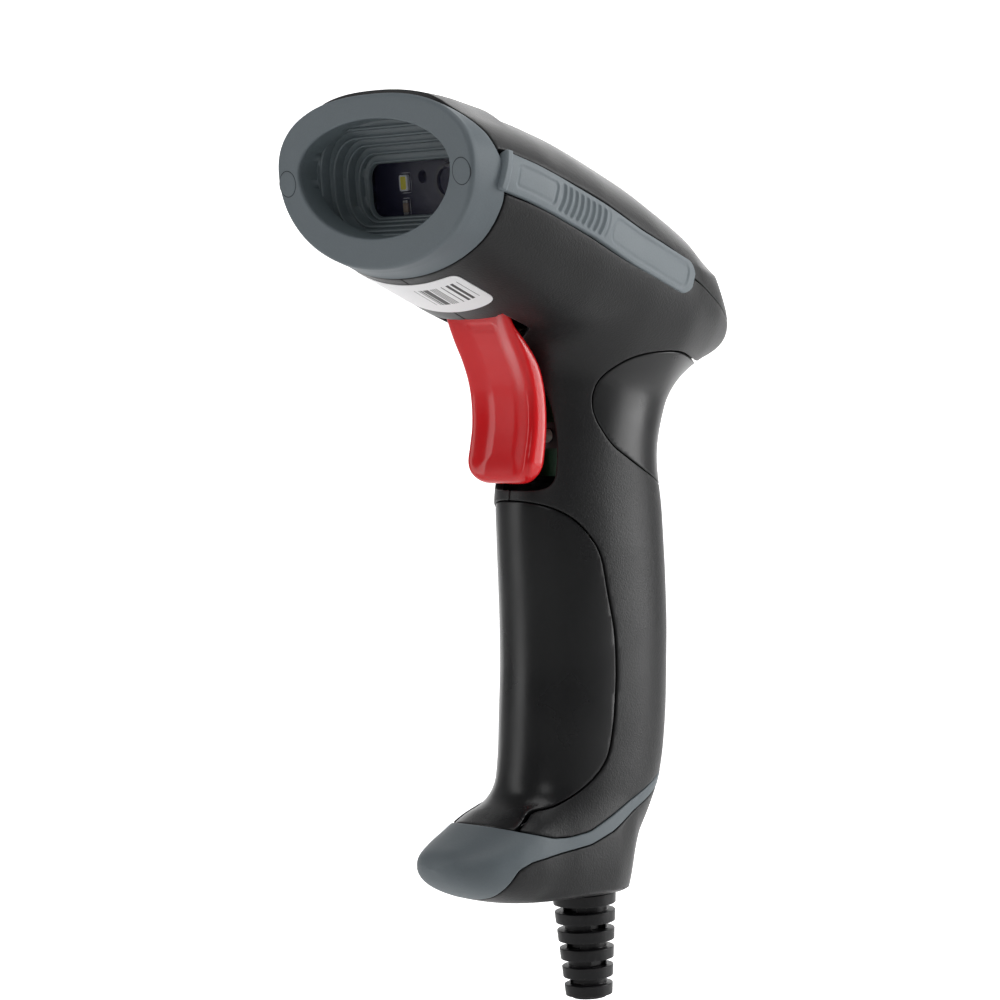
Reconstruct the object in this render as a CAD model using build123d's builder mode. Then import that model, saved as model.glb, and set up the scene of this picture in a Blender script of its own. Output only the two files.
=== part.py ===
"""Hand-held barcode scanner: a pistol grip, a wide oval scanning head, a red trigger and a ribbed cord boot.

Frame: +Z up along the grip, the scanning window faces -Y, X is across the body. The origin is the middle of the
grip, where a hand holds it. All sizes are in millimetres.
"""
from build123d import *
import math
import os

os.makedirs("parts", exist_ok=True)

# ---- driving sizes -------------------------------------------------------------------------------------------
head_width = 68.0          # across the head at the nose
head_length = 107.0        # from the nose face to the tail of the head
grip_width = 30.0          # across the grip
grip_top = 46.0            # level where the grip starts to flare into the head
grip_bottom = -30.0        # level where the grip starts to flare into the foot
wall = 2.2                 # moulded wall of the housing
seam = 0.15                # gap at the joints between covers
nose_y = -64.0             # middle of the nose face
nose_z = grip_top + 64.0   # level of the widest line of the nose face
nose_lean = 6.0            # degrees that the nose face leans forward at its top
bumper_depth = 9.0         # nose face to the bumper's rear edge

# ---- head and grip outlines ----------------------------------------------------------------------------------
# Each head station: share of the head's length, share of its half width, and top, waist and bottom above grip_top.
HEAD_STATIONS = [
    (-0.03, 1.00, 82.0, 66.0, 42.5), (0.06, 1.00, 82.4, 64.0, 41.0), (0.22, 0.99, 78.8, 58.5, 33.0),
    (0.39, 0.95, 73.0, 52.5, 26.0), (0.56, 0.88, 65.4, 46.5, 21.0), (0.71, 0.78, 57.0, 41.0, 18.3),
    (0.84, 0.61, 48.5, 35.5, 18.6), (0.935, 0.42, 40.5, 31.0, 20.6), (1.0, 0.25, 34.6, 29.6, 24.4),
    (1.02, 0.13, 32.4, 29.8, 27.0),
]
# Each grip station: level, front, rear and share of the grip's half width.
GRIP_STATIONS = [
    (grip_top + 32, -31.0, 36.0, 1.62), (grip_top + 25, -27.0, 34.0, 1.42), (grip_top + 19, -24.0, 28.5, 1.22),
    (grip_top + 11, -22.0, 22.0, 1.04), (grip_top, -22.0, 19.5, 1.0), (grip_top - 11, -23.5, 20.5, 1.0),
    ((grip_top + grip_bottom) / 2, -21.8, 22.3, 1.04), (grip_bottom + 14, -21.9, 21.7, 1.04),
    (grip_bottom, -23.6, 19.8, 1.0), (grip_bottom - 8, -27.0, 16.5, 0.96), (grip_bottom - 20, -28.0, 12.5, 0.88),
]
# Each foot station: depth from the toe's tip line, top and bottom below grip_bottom, share of the half width.
FOOT_STATIONS = [
    (12.0, 2.0, 25.5, 0.72), (0.0, 1.0, 25.5, 0.94), (-15.0, 0.5, 25.5, 1.03), (-28.0, 4.0, 25.2, 1.03),
    (-38.0, 7.3, 24.0, 0.92), (-44.0, 10.3, 21.6, 0.68), (-47.2, 13.6, 18.4, 0.34),
]
base_z = grip_bottom - 25.5


def head_y(share):
    """Place along the head of a share of its length."""
    return nose_y + share * head_length


def head_solid(inset):
    """The head's outer shape, or with an inset the space inside its wall."""
    with BuildPart() as body:
        for share, width, top, waist, bottom in HEAD_STATIONS:
            half = width * head_width / 2 - inset
            upper, lower = top - waist - inset, waist - bottom - inset
            if min(half, upper, lower) < 0.8:
                continue
            place = min(head_y(share), head_y(1.02) - 1.2 * inset)
            plane = Plane(origin=(0, place, grip_top + waist), x_dir=(1, 0, 0), z_dir=(0, -1, 0))
            with BuildSketch(plane):
                with BuildLine():
                    EllipticalCenterArc((0, 0), half, upper, start_angle=0, arc_size=180)
                    EllipticalCenterArc((0, 0), half, lower, start_angle=180, arc_size=180)
                make_face()
        loft()
    return body.part


def grip_solid(inset):
    """The grip's outer shape with its flare into the head, or the space inside its wall."""
    with BuildPart() as body:
        for level, front, rear, width in GRIP_STATIONS:
            with BuildSketch(Plane.XY.offset(level)):
                with Locations((0, (front + rear) / 2)):
                    Ellipse(width * grip_width / 2 - inset, (rear - front) / 2 - inset)
        loft()
    return body.part


def foot_solid(inset):
    """The foot with its toe, or the space inside its wall."""
    with BuildPart() as body:
        for y, top, bottom, width in FOOT_STATIONS:
            half, tall = width * grip_width / 2 - inset, (bottom - top) / 2 - inset
            if min(half, tall) < 0.8:
                continue
            place = min(y, FOOT_STATIONS[0][0] - inset)
            plane = Plane(origin=(0, place, grip_bottom - (top + bottom) / 2), x_dir=(1, 0, 0), z_dir=(0, -1, 0))
            with BuildSketch(plane):
                RectangleRounded(2 * half, 2 * tall, min(half, tall) * 0.86)
        loft()
    return body.part


def body_solid(inset):
    """The whole outer shape, or with an inset the space inside its wall."""
    with BuildPart() as body:
        add(head_solid(inset))
        add(grip_solid(inset))
        add(foot_solid(inset))
    return body.part


def side_prism(points, x0, x1, smooth=False):
    """A side-view outline of (y, z) points carried across the body from x0 to x1."""
    with BuildPart() as prism:
        with BuildSketch(Plane.YZ.offset(x0)):
            with BuildLine():
                if smooth:
                    Spline(*points, periodic=True)
                else:
                    Polyline(*points, close=True)
            make_face()
        extrude(amount=x1 - x0)
    return prism.part


def cross_pin(y, z, x0, x1, radius):
    """A round bar across the body."""
    with BuildPart() as bar:
        with BuildSketch(Plane.YZ.offset(x0)):
            with Locations((y, z)):
                Circle(radius)
        extrude(amount=x1 - x0)
    return bar.part


def slab(plane, width, height, depth, shift=(0, 0), radius=0.0):
    """A flat plate standing on a plane, with rounded corners when a radius is given."""
    with BuildPart() as plate:
        with BuildSketch(plane):
            with Locations(shift):
                if radius > 0:
                    RectangleRounded(width, height, radius)
                else:
                    Rectangle(width, height)
        extrude(amount=depth)
    return plate.part


def rod(plane, radius, depth, shift=(0, 0)):
    """A round bar standing on a plane."""
    with BuildPart() as bar:
        with BuildSketch(plane):
            with Locations(shift):
                Circle(radius)
        extrude(amount=depth)
    return bar.part


def keep(piece, label):
    """Name a finished piece and write it out."""
    piece.part.label = label
    export_step(piece.part, "parts/" + label + ".step")


outer = body_solid(0.0)
inner = body_solid(wall)
print("body", round(outer.volume), round(inner.volume))

# ---- where the covers meet, in the side view as (y, z) ------------------------------------------------------
NOSE_LINE = [(-90, 140), (-67.0, 140), (-66.2, 130), (-62.5, 123.5), (-57.6, 117), (-54.4, 110), (-53.6, 102),
             (-54.4, 94), (-56.2, 86), (-58, 80), (-58, 70), (-90, 70)]
TOP_LINE = [(-90, 160), (-90, 119), (-54, 108.5), (-37, 103.6), (-23, 98.8), (-9, 93.6), (8, 87.4), (30, 79.4),
            (46, 75.2), (70, 70), (70, 160)]
BAND_TOP = [(30, -20.8), (11.6, -28.8), (1.2, -33.2), (-6.1, -36.7), (-12.1, -39.3), (-18, -40.2), (-22.7, -40.1),
            (-30.2, -38.3), (-38.8, -35.8), (-60, -31)]
BAND_FOOT = [(-36.3, -52.3), (-34.4, -49.7), (-33.7, -46.7), (-30.2, -45.3), (-21.5, -43.8), (-12, -42.6),
             (-4.9, -39.9), (2.4, -35.5), (11.3, -32.1), (30, -24.6)]
across = head_width
nose_region = side_prism(NOSE_LINE, -across, across)
top_region = side_prism(TOP_LINE, -across, across)
foot_region = side_prism(BAND_TOP + [(-60, -70), (30, -70)], -across, across)
toe_region = side_prism(BAND_TOP + [(-60, -70), (-36.3, -70)] + BAND_FOOT, -across, across)

# ---- covers that lie in shallow recesses ----------------------------------------------------------------------
inlay = 1.3                # depth of the recesses
recess_floor = body_solid(inlay + 0.05)
inlay_floor = body_solid(inlay)
STRIP_TOP = [(-55.6, 113.2), (-46, 110.9), (-37.4, 108.1), (-23.6, 103.3), (-9.6, 97.2), (2.4, 93.2), (8.0, 89.8),
             (9.3, 87), (8.0, 84.6)]
STRIP_LOW = [(3.7, 84.4), (-2.1, 86.3), (-16.6, 90.8), (-30.6, 96.3), (-44.2, 101.1), (-55.8, 104.3)]
strip_outline = STRIP_TOP + STRIP_LOW
PAD = [(23.6, 68.2), (11.4, 70.3), (0, 69.4), (-6.7, 66.1), (-10.1, 61.6), (-9.8, 55.8), (-5.6, 49.7), (0, 46),
       (8, 42.2), (20.4, 38.0), (34, 34.0), (46, 66.0)]
INSERT = [(-40, 37.4), (-29.4, 37.2), (-21.8, 36.2), (-15.8, 33.2), (-11.4, 29), (-8, 23.5), (-6.1, 14.7), (-4.3, 5.8),
          (-3.8, -3), (-4.1, -10), (-4.7, -16.3), (-6.2, -22.9), (-10.3, -27.9), (-16.4, -31.6), (-21.5, -33.2),
          (-40, -33.6)]


def grown(points, gap):
    """A closed side-view outline grown by a gap."""
    middle = (sum(p[0] for p in points) / len(points), sum(p[1] for p in points) / len(points))
    out = []
    for index, point in enumerate(points):
        before, after = points[index - 1], points[(index + 1) % len(points)]
        across_y, across_z = after[1] - before[1], before[0] - after[0]
        size = math.hypot(across_y, across_z)
        step = (across_y / size * gap, across_z / size * gap)
        if step[0] * (point[0] - middle[0]) + step[1] * (point[1] - middle[1]) < 0:
            step = (-step[0], -step[1])
        out.append((point[0] + step[0], point[1] + step[1]))
    return out


with BuildPart() as recesses:
    add(side_prism(grown(strip_outline, seam), -across, across))
    add(side_prism(grown(PAD, seam), -across, across))
    add(side_prism(INSERT, -across, across))
    add(recess_floor, mode=Mode.SUBTRACT)

# ---- nose face frame: depth is measured back from the face --------------------------------------------------
face_tilt = math.radians(nose_lean)
face_plane = Plane(origin=(0, nose_y, nose_z), x_dir=(1, 0, 0),
                   z_dir=(0, -math.cos(face_tilt), -math.sin(face_tilt)))


def behind_face(depth):
    """A plane parallel to the nose face, facing forwards, at a depth behind it."""
    return face_plane.offset(-depth)


face_wall = 5.4            # thickness of the soft bumper's face
opening = (26.3, 11.1, 15.3)
RINGS = [(5.4, 24.3, 8.9, -14.5, 9.0), (7.7, 22.6, 6.9, -13.6, 8.0), (10.1, 20.9, 5.1, -12.6, 7.0),
         (12.2, 19.2, 3.2, -11.7, 5.5), (13.4, 17.6, 1.2, -11.0, 3.6)]
hood_wall = 2.3
window_depth = 14.6
window_size = (2 * 18.6, 2 * 7.1)
window_shift = (0, (RINGS[-1][2] + RINGS[-1][3]) / 2)
plug_x, plug_z, plug_radius, plug_deep = 30.3, -1.8, 2.9, 1.8
screw_head, screw_shank = 1.9, 1.15

# ---- soft nose bumper ----------------------------------------------------------------------------------------
with BuildPart() as nose_hollow:
    add(inner)
    add(slab(behind_face(face_wall), 200, 200, -60), mode=Mode.INTERSECT)
with BuildPart() as nose_bumper:
    add(outer)
    add(nose_region, mode=Mode.INTERSECT)
    add(slab(behind_face(0), 200, 200, 40), mode=Mode.SUBTRACT)
    add(nose_hollow.part, mode=Mode.SUBTRACT)
    add(recesses.part, mode=Mode.SUBTRACT)
    with BuildSketch(behind_face(face_wall + 1)):
        with BuildLine():
            EllipticalCenterArc((0, 0), opening[0], opening[1], start_angle=0, arc_size=180)
            EllipticalCenterArc((0, 0), opening[0], opening[2], start_angle=180, arc_size=180)
        make_face()
    extrude(amount=face_wall + 4, mode=Mode.SUBTRACT)
    for side in (-1, 1):
        spot = (side * plug_x, plug_z)
        add(rod(behind_face(-1), plug_radius + 0.05, -(plug_deep + 1), spot), mode=Mode.SUBTRACT)
        add(rod(behind_face(plug_deep - 0.1), screw_head, -1.7, spot), mode=Mode.SUBTRACT)
        add(rod(behind_face(plug_deep), screw_shank, -12, spot), mode=Mode.SUBTRACT)
keep(nose_bumper, "nose_bumper")

with BuildPart() as nose_plugs:
    for side in (-1, 1):
        add(rod(behind_face(0), plug_radius, -(plug_deep - 0.05), (side * plug_x, plug_z)))
keep(nose_plugs, "nose_plugs")

with BuildPart() as nose_screws:
    for side in (-1, 1):
        add(rod(behind_face(plug_deep), screw_head - 0.05, -1.6, (side * plug_x, plug_z)))
        add(rod(behind_face(plug_deep), screw_shank, -14.5, (side * plug_x, plug_z)))
        add(slab(behind_face(plug_deep - 0.1), 2.4, 0.6, -0.9, (side * plug_x, plug_z)), mode=Mode.SUBTRACT)
keep(nose_screws, "nose_screws")

# ---- stepped hood and the clear window ----------------------------------------------------------------------
with BuildPart() as light_hood:
    for depth, half, top, bottom, radius in RINGS:
        add(slab(behind_face(depth), 2 * (half + hood_wall), top - bottom + 2 * hood_wall, -(2.6),
                 (0, (top + bottom) / 2), radius + hood_wall))
    add(slab(behind_face(RINGS[-1][0]), window_size[0] + 4, window_size[1] + 4, -3.2, window_shift, 3.6))
    for index, (depth, half, top, bottom, radius) in enumerate(RINGS):
        after = RINGS[index + 1][0] if index + 1 < len(RINGS) else window_depth + 4
        add(slab(behind_face(depth - 0.01), 2 * half, top - bottom, -(after - depth + 0.01),
                 (0, (top + bottom) / 2), radius), mode=Mode.SUBTRACT)
    add(slab(behind_face(window_depth), window_size[0] + 0.1, window_size[1] + 0.1, -4, window_shift, 2.6),
        mode=Mode.SUBTRACT)
keep(light_hood, "light_hood")

with BuildPart() as scan_window:
    add(slab(behind_face(window_depth), *window_size, -1.4, window_shift, 2.55))
keep(scan_window, "scan_window")

# ---- optics behind the window --------------------------------------------------------------------------------
bracket_depth = RINGS[-1][0] + 3.2
lens_x, lens_z = 4.7, -3.9
led_spots = [(-10.5, -3.6), (14.2, -3.6)]
board_size = (43.0, 15.4)
with BuildPart() as optics_bracket:
    add(slab(behind_face(bracket_depth), 45.6, 18.0, -5.0, window_shift, 3.0))
    add(slab(behind_face(bracket_depth + 4), 24.0, 14.0, -13.0, (lens_x - 2.0, window_shift[1]), 1.5))
    add(slab(behind_face(bracket_depth - 1), board_size[0] + 0.1, board_size[1] + 0.1, -4.4, window_shift),
        mode=Mode.SUBTRACT)
    add(slab(behind_face(bracket_depth + 5), 21.0, 11.0, -20, (lens_x - 2.0, window_shift[1])), mode=Mode.SUBTRACT)
    add(rod(behind_face(bracket_depth), 4.05, -20, (lens_x, lens_z)), mode=Mode.SUBTRACT)
keep(optics_bracket, "optics_bracket")

board_depth = bracket_depth + 1.8
with BuildPart() as illumination_board:
    add(slab(behind_face(board_depth), *board_size, -1.6, window_shift, 0.8))
    add(rod(behind_face(board_depth - 1), 4.25, -4, (lens_x, lens_z)), mode=Mode.SUBTRACT)
    add(rod(behind_face(board_depth - 1), 1.5, -4, (-4.5, -2.5)), mode=Mode.SUBTRACT)
keep(illumination_board, "illumination_board")

with BuildPart() as illumination_leds:
    for spot in led_spots:
        add(slab(behind_face(board_depth), 2.9, 3.7, 0.8, spot, 0.3))
keep(illumination_leds, "illumination_leds")

with BuildPart() as optics_resistors:
    for x in (-10.7, 14.2):
        add(slab(behind_face(board_depth), 1.7, 3.3, 0.55, (x, -9.2)))
keep(optics_resistors, "optics_resistors")

barrel_front = board_depth - 0.9
with BuildPart() as lens_barrel:
    add(rod(behind_face(barrel_front), 4.0, -9.0, (lens_x, lens_z)))
    add(rod(behind_face(barrel_front - 1), 2.7, -12.0, (lens_x, lens_z)), mode=Mode.SUBTRACT)
    add(rod(behind_face(barrel_front - 1), 3.2, -2.8, (lens_x, lens_z)), mode=Mode.SUBTRACT)
keep(lens_barrel, "lens_barrel")

with BuildPart() as scan_lens:
    add(rod(behind_face(barrel_front + 0.5), 3.15, -1.25, (lens_x, lens_z)))
keep(scan_lens, "scan_lens")

sensor_depth = bracket_depth + 14.6
with BuildPart() as sensor_board:
    add(slab(behind_face(sensor_depth), 20.8, 10.8, -1.2, (lens_x - 2.0, window_shift[1])))
keep(sensor_board, "sensor_board")

with BuildPart() as line_sensor:
    add(slab(behind_face(sensor_depth), 17.0, 4.2, 2.4, (lens_x - 2.0, lens_z)))
    add(slab(behind_face(sensor_depth - 2.4), 13.0, 1.0, -0.3, (lens_x - 2.0, lens_z)), mode=Mode.SUBTRACT)
keep(line_sensor, "line_sensor")

# ---- main board, hung under the top cover ---------------------------------------------------------------------
board_tilt = 19.0
main_plane = Plane(origin=(0, 3.0, 88.0), x_dir=(1, 0, 0),
                   z_dir=(0, math.sin(math.radians(board_tilt)), math.cos(math.radians(board_tilt))))
main_size = (26.0, 50.0)
main_thick = 1.6
BOARD_SCREWS = [(-10.0, 20.0), (10.0, 20.0), (-10.0, -20.0), (10.0, -20.0)]
with BuildPart() as main_board:
    add(slab(main_plane, *main_size, -main_thick, radius=1.5))
    for spot in BOARD_SCREWS:
        add(rod(main_plane.offset(1), 1.05, -5, spot), mode=Mode.SUBTRACT)
keep(main_board, "main_board")

with BuildPart() as decoder_chip:
    add(slab(main_plane, 10, 10, 1.4, (2.5, 0.5)))
keep(decoder_chip, "decoder_chip")

SMALL_CHIPS = [((-7.0, 6.0), (4.0, 5.0), 1.1), ((-8.0, -3.0), (3.2, 2.5), 1.0), ((9.8, 11.0), (3.0, 3.0), 0.9),
               ((3.0, 9.5), (5.0, 3.0), 1.2), ((10.2, 2.0), (1.6, 3.2), 0.6), ((-2.5, 14.0), (3.2, 1.6), 0.6)]
with BuildPart() as board_chips:
    for spot, size, tall in SMALL_CHIPS:
        add(slab(main_plane, *size, tall, spot))
keep(board_chips, "board_chips")

with BuildPart() as beeper:
    add(rod(main_plane, 4.5, 4.5, (-6.5, -11.5)))
    add(rod(main_plane.offset(3.5), 0.9, 3, (-6.5, -11.5)), mode=Mode.SUBTRACT)
keep(beeper, "beeper")

below_board = main_plane.offset(-main_thick)
with BuildPart() as cable_header:
    add(slab(below_board, 14.0, 5.0, -5.5, (0, 12.0)))
    add(slab(below_board.offset(-2.0), 12.0, 3.4, -4.0, (0, 12.0)), mode=Mode.SUBTRACT)
keep(cable_header, "cable_header")

with BuildPart() as header_pins:
    for index in range(5):
        add(slab(below_board.offset(-2.0), 0.6, 0.6, -2.8, (-4.0 + 2.0 * index, 12.0)))
keep(header_pins, "header_pins")

with BuildPart() as switch_socket:
    add(slab(below_board, 6.0, 4.0, -4.0, (0, -18.0)))
keep(switch_socket, "switch_socket")

with BuildPart() as board_screws:
    for spot in BOARD_SCREWS:
        add(rod(below_board, 1.9, -1.3, spot))
        add(rod(below_board, 1.0, main_thick + 5.0, spot))
        add(slab(below_board.offset(-1.3), 2.2, 0.5, 0.6, spot), mode=Mode.SUBTRACT)
keep(board_screws, "board_screws")

# ---- trigger, its pin and spring ------------------------------------------------------------------------------
pin_y, pin_z, pin_radius = -20.5, 73.2, 1.5
trigger_half = 11.0
trigger_gap = 0.45
TRIGGER = [(-33.6, 77.2), (-31.6, 72.6), (-29, 67.8), (-27, 63), (-26.3, 59), (-26.1, 53.3), (-26.7, 48.8),
           (-27.4, 45.2), (-26.8, 41.5), (-24.6, 39.7), (-20.5, 39.4), (-17.6, 41.5), (-16.4, 50), (-16.2, 60),
           (-16.2, 73), (-18.0, 76.2), (-24, 77.6)]
HOLLOW = [(-29.8, 75.0), (-27.0, 68.6), (-24.8, 62.5), (-24.2, 57), (-24.4, 49), (-24.9, 43.4), (-21.8, 41.6),
          (-14, 41.6), (-14, 70.0), (-17.6, 70.0), (-21.4, 70.2), (-24.6, 72.6), (-26.4, 75.4)]
press_z = 51.0
with BuildPart() as trigger:
    add(side_prism(TRIGGER, -trigger_half, trigger_half))
    fillet([e for e in trigger.edges().filter_by(Axis.X, reverse=True)
            if abs(abs(e.center().X) - trigger_half) < 0.01 and e.center().Y < -24.9 and e.center().Z < 77], 1.6)
    add(side_prism(HOLLOW, -trigger_half + 2, trigger_half - 2), mode=Mode.SUBTRACT)
    add(side_prism([(-26, press_z + 2), (-16.6, press_z + 2), (-14.9, press_z + 0.4), (-14.9, press_z - 0.4),
                    (-16.6, press_z - 2), (-26, press_z - 2)], -1.2, 1.2))
    add(cross_pin(pin_y, pin_z, -20, 20, pin_radius + 0.08), mode=Mode.SUBTRACT)
    add(side_prism([(-26, 77), (-15, 77), (-15, 69.9), (-26, 69.9)], -5.0, 5.0), mode=Mode.SUBTRACT)
keep(trigger, "trigger")

with BuildPart() as trigger_pin:
    add(cross_pin(pin_y, pin_z, -13.2, 13.2, pin_radius))
keep(trigger_pin, "trigger_pin")

with BuildPart() as trigger_spring:
    with BuildLine():
        coil = Helix(pitch=1.1, height=5.5, radius=2.15, center=(-2.75, pin_y, pin_z), direction=(1, 0, 0))
    with BuildSketch(Plane(origin=coil @ 0, z_dir=coil % 0)):
        Circle(0.3)
    sweep(is_frenet=True)
keep(trigger_spring, "trigger_spring")

# ---- trigger switch on its own small board --------------------------------------------------------------------
switch_y = -11.2


def facing_back(y):
    """A plane across the body at the switch's level, facing the rear."""
    return Plane(origin=(0, y, press_z), x_dir=(1, 0, 0), z_dir=(0, 1, 0))


with BuildPart() as switch_plunger:
    add(rod(facing_back(-14.85), 1.6, 3.4))
keep(switch_plunger, "switch_plunger")

with BuildPart() as switch_body:
    add(slab(facing_back(switch_y), 6, 6, 3.6))
    add(rod(facing_back(switch_y - 0.5), 1.68, 2.6), mode=Mode.SUBTRACT)
keep(switch_body, "switch_body")

sub_y = switch_y + 3.6
with BuildPart() as switch_board:
    add(slab(facing_back(sub_y), 15.6, 19.0, 1.2))
keep(switch_board, "switch_board")

with BuildPart() as switch_lead:
    add(side_prism([(sub_y + 1.2, 60.0), (sub_y + 1.8, 60.0), (-5.4, 66), (-7.2, 76), (-15.3, 88.25), (-16.1, 88.55),
                    (-7.9, 76), (-6.2, 66), (sub_y + 1.2, 61.0)], -2.0, 2.0))
keep(switch_lead, "switch_lead")

# ---- inlaid covers ---------------------------------------------------------------------------------------------
strip_face = head_solid(-0.45)
for name, x0, x1 in (("side_strip_left", -across, 0), ("side_strip_right", 0, across)):
    with BuildPart() as strip:
        add(side_prism(strip_outline, x0, x1))
        add(strip_face, mode=Mode.INTERSECT)
        add(inlay_floor, mode=Mode.SUBTRACT)
    keep(strip, name)

with BuildPart() as rear_pad:
    add(side_prism(PAD, -across, across))
    add(body_solid(-0.1), mode=Mode.INTERSECT)
    add(inlay_floor, mode=Mode.SUBTRACT)
keep(rear_pad, "rear_pad")

with BuildPart() as grip_insert:
    add(side_prism(INSERT, -across, across))
    add(grip_solid(0.35), mode=Mode.INTERSECT)
    add(inlay_floor, mode=Mode.SUBTRACT)
keep(grip_insert, "grip_insert")

# ---- housing screws: three from the left side ---------------------------------------------------------------
CASE_SCREWS = [(1.0, -14.0, 9.5), (3.0, 30.0, 9.0), (35.0, 76.5, 8.0)]
with BuildPart() as housing_screws:
    for y, z, head in CASE_SCREWS:
        add(cross_pin(y, z, -head, -head + 1.6, 2.2))
        add(cross_pin(y, z, -head, 7.0, 1.2))
        add(side_prism([(y - 1.3, z - 0.3), (y + 1.3, z - 0.3), (y + 1.3, z + 0.3), (y - 1.3, z + 0.3)],
                       -head - 0.1, -head + 0.8), mode=Mode.SUBTRACT)
keep(housing_screws, "housing_screws")

# ---- moulded housings -----------------------------------------------------------------------------------------
with BuildPart() as shell:
    add(outer)
    add(inner, mode=Mode.SUBTRACT)

with BuildPart() as board_posts:
    for spot in BOARD_SCREWS:
        add(rod(main_plane, 2.4, 60, spot))
    add(inner, mode=Mode.INTERSECT)

with BuildPart() as nose_lugs:
    for end in (-1, 1):
        add(rod(behind_face(8.0), 3.0, -10.0, (end * plug_x, plug_z)))
    add(body_solid(0.4), mode=Mode.INTERSECT)

with BuildPart() as top_cover:
    add(shell.part)
    add(top_region, mode=Mode.INTERSECT)
    add(board_posts.part)
    add(nose_lugs.part)
    add(nose_region, mode=Mode.SUBTRACT)
    add(recesses.part, mode=Mode.SUBTRACT)
    for spot in BOARD_SCREWS:
        add(rod(main_plane.offset(-0.2), 1.0, 5.5, spot), mode=Mode.SUBTRACT)
    for end in (-1, 1):
        add(rod(behind_face(plug_deep), screw_shank, -15, (end * plug_x, plug_z)), mode=Mode.SUBTRACT)
print("top_cover", top_cover.part.volume, [round(s.volume) for s in top_cover.part.solids()])
keep(top_cover, "top_cover")

TRIGGER_OPENING = [(-60, 38.8), (-16.4, 38.8), (-13.4, 41.5), (-13.0, 50), (-13.0, 79), (-36.5, 79), (-60, 84)]
opening_half = trigger_half + trigger_gap
for name, side in (("left_housing", -1), ("right_housing", 1)):
    with BuildPart() as bosses:
        for y, z, head in CASE_SCREWS:
            add(cross_pin(y, z, side * 0.0, side * 40, 3.2))
        add(cross_pin(pin_y, pin_z, side * (trigger_half + 0.15), side * 40, 3.4))
        add(inner, mode=Mode.INTERSECT)
        add(side_prism([(-10.5, 41), (-3.4, 41), (-3.4, 61), (-10.5, 61)], side * 7.0, side * 40))
        add(side_prism([(sub_y, 30), (sub_y + 1.2, 30), (sub_y + 1.2, 70), (sub_y, 70)], 0, side * 8.0),
            mode=Mode.SUBTRACT)
        add(outer, mode=Mode.INTERSECT)
    with BuildPart() as half:
        add(shell.part)
        add(side_prism(TRIGGER_OPENING, -opening_half, opening_half), mode=Mode.SUBTRACT)
        add(bosses.part)
        add(top_region, mode=Mode.SUBTRACT)
        add(nose_region, mode=Mode.SUBTRACT)
        add(foot_region, mode=Mode.SUBTRACT)
        add(slab(Plane.YZ, 400, 400, side * 80), mode=Mode.INTERSECT)
        add(recesses.part, mode=Mode.SUBTRACT)
        add(cross_pin(pin_y, pin_z, -13.25, 13.25, pin_radius), mode=Mode.SUBTRACT)
        for end in (-1, 1):
            add(rod(behind_face(7.0), 3.05, -12, (end * plug_x, plug_z)), mode=Mode.SUBTRACT)
        for y, z, head in CASE_SCREWS:
            add(cross_pin(y, z, -head - 0.1, 7.2, 1.2), mode=Mode.SUBTRACT)
            add(cross_pin(y, z, -head + 1.6, -across, 2.3), mode=Mode.SUBTRACT)
    print(name, half.part.volume, [round(s.volume) for s in half.part.solids()])
    keep(half, name)

# ---- foot: soft toe with its band, and the cap the cord leaves by ----------------------------------------------
cord_hole = 2.1
boot_lean = 4.0
boot_plane = Plane(origin=(0, 0.0, base_z), x_dir=(1, 0, 0),
                   z_dir=(0, math.sin(math.radians(boot_lean)), -math.cos(math.radians(boot_lean))))
boot_length = 25.5
with BuildPart() as toe_bumper:
    add(shell.part)
    add(toe_region, mode=Mode.INTERSECT)
keep(toe_bumper, "toe_bumper")

with BuildPart() as base_cap:
    add(shell.part)
    add(foot_region, mode=Mode.INTERSECT)
    add(toe_region, mode=Mode.SUBTRACT)
    add(rod(boot_plane.offset(-6), 6.55, 10), mode=Mode.SUBTRACT)
    add(rod(boot_plane.offset(-wall - 2.4), 8.1, 2.5), mode=Mode.SUBTRACT)
keep(base_cap, "base_cap")

# ---- ribbed boot on the cord outlet -----------------------------------------------------------------------------
ring_count, ring_pitch, ring_thick = 6, 4.3, 2.7
with BuildPart() as cable_boot:
    add(rod(boot_plane.offset(-wall - 2.2), 8.0, 2.0))
    add(rod(boot_plane.offset(-wall - 0.6), 6.5, wall + 0.8))
    with BuildSketch(boot_plane):
        Circle(5.4)
    with BuildSketch(boot_plane.offset(boot_length - 0.5)):
        Circle(4.1)
    loft()
    for index in range(ring_count):
        start = 0.15 + index * ring_pitch
        radius = 7.5 - 0.36 * index
        with BuildSketch(boot_plane.offset(start)):
            Circle(radius)
        with BuildSketch(boot_plane.offset(start + ring_thick)):
            Circle(radius - 0.2)
        loft()
    for index in range(ring_count - 1):
        start = 0.15 + ring_thick + index * ring_pitch
        turned = index % 2
        wide, deep = (12.0, 4.4) if turned else (4.4, 12.0)
        for side in (-1, 1):
            shift = (0, side * (3.1 + 6.0)) if not turned else (side * (3.1 + 6.0), 0)
            add(slab(boot_plane.offset(start), wide, deep, ring_pitch - ring_thick, shift), mode=Mode.SUBTRACT)
    add(rod(boot_plane.offset(-10), cord_hole, 50), mode=Mode.SUBTRACT)
keep(cable_boot, "cable_boot")

# ---- paper label on the underside of the head --------------------------------------------------------------------
with BuildPart() as label:
    add(slab(Plane(origin=(-3.0, -45.0, 70.0), x_dir=(1, 0, 0), z_dir=(0, 0, 1)), 36.0, 13.6, 20, radius=2.0))
    add(head_solid(-0.15), mode=Mode.INTERSECT)
    add(head_solid(0.0), mode=Mode.SUBTRACT)
keep(label, "label")
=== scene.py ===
import math
import bmesh
import bpy
import numpy as np
from mathutils import Matrix, Vector


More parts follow.
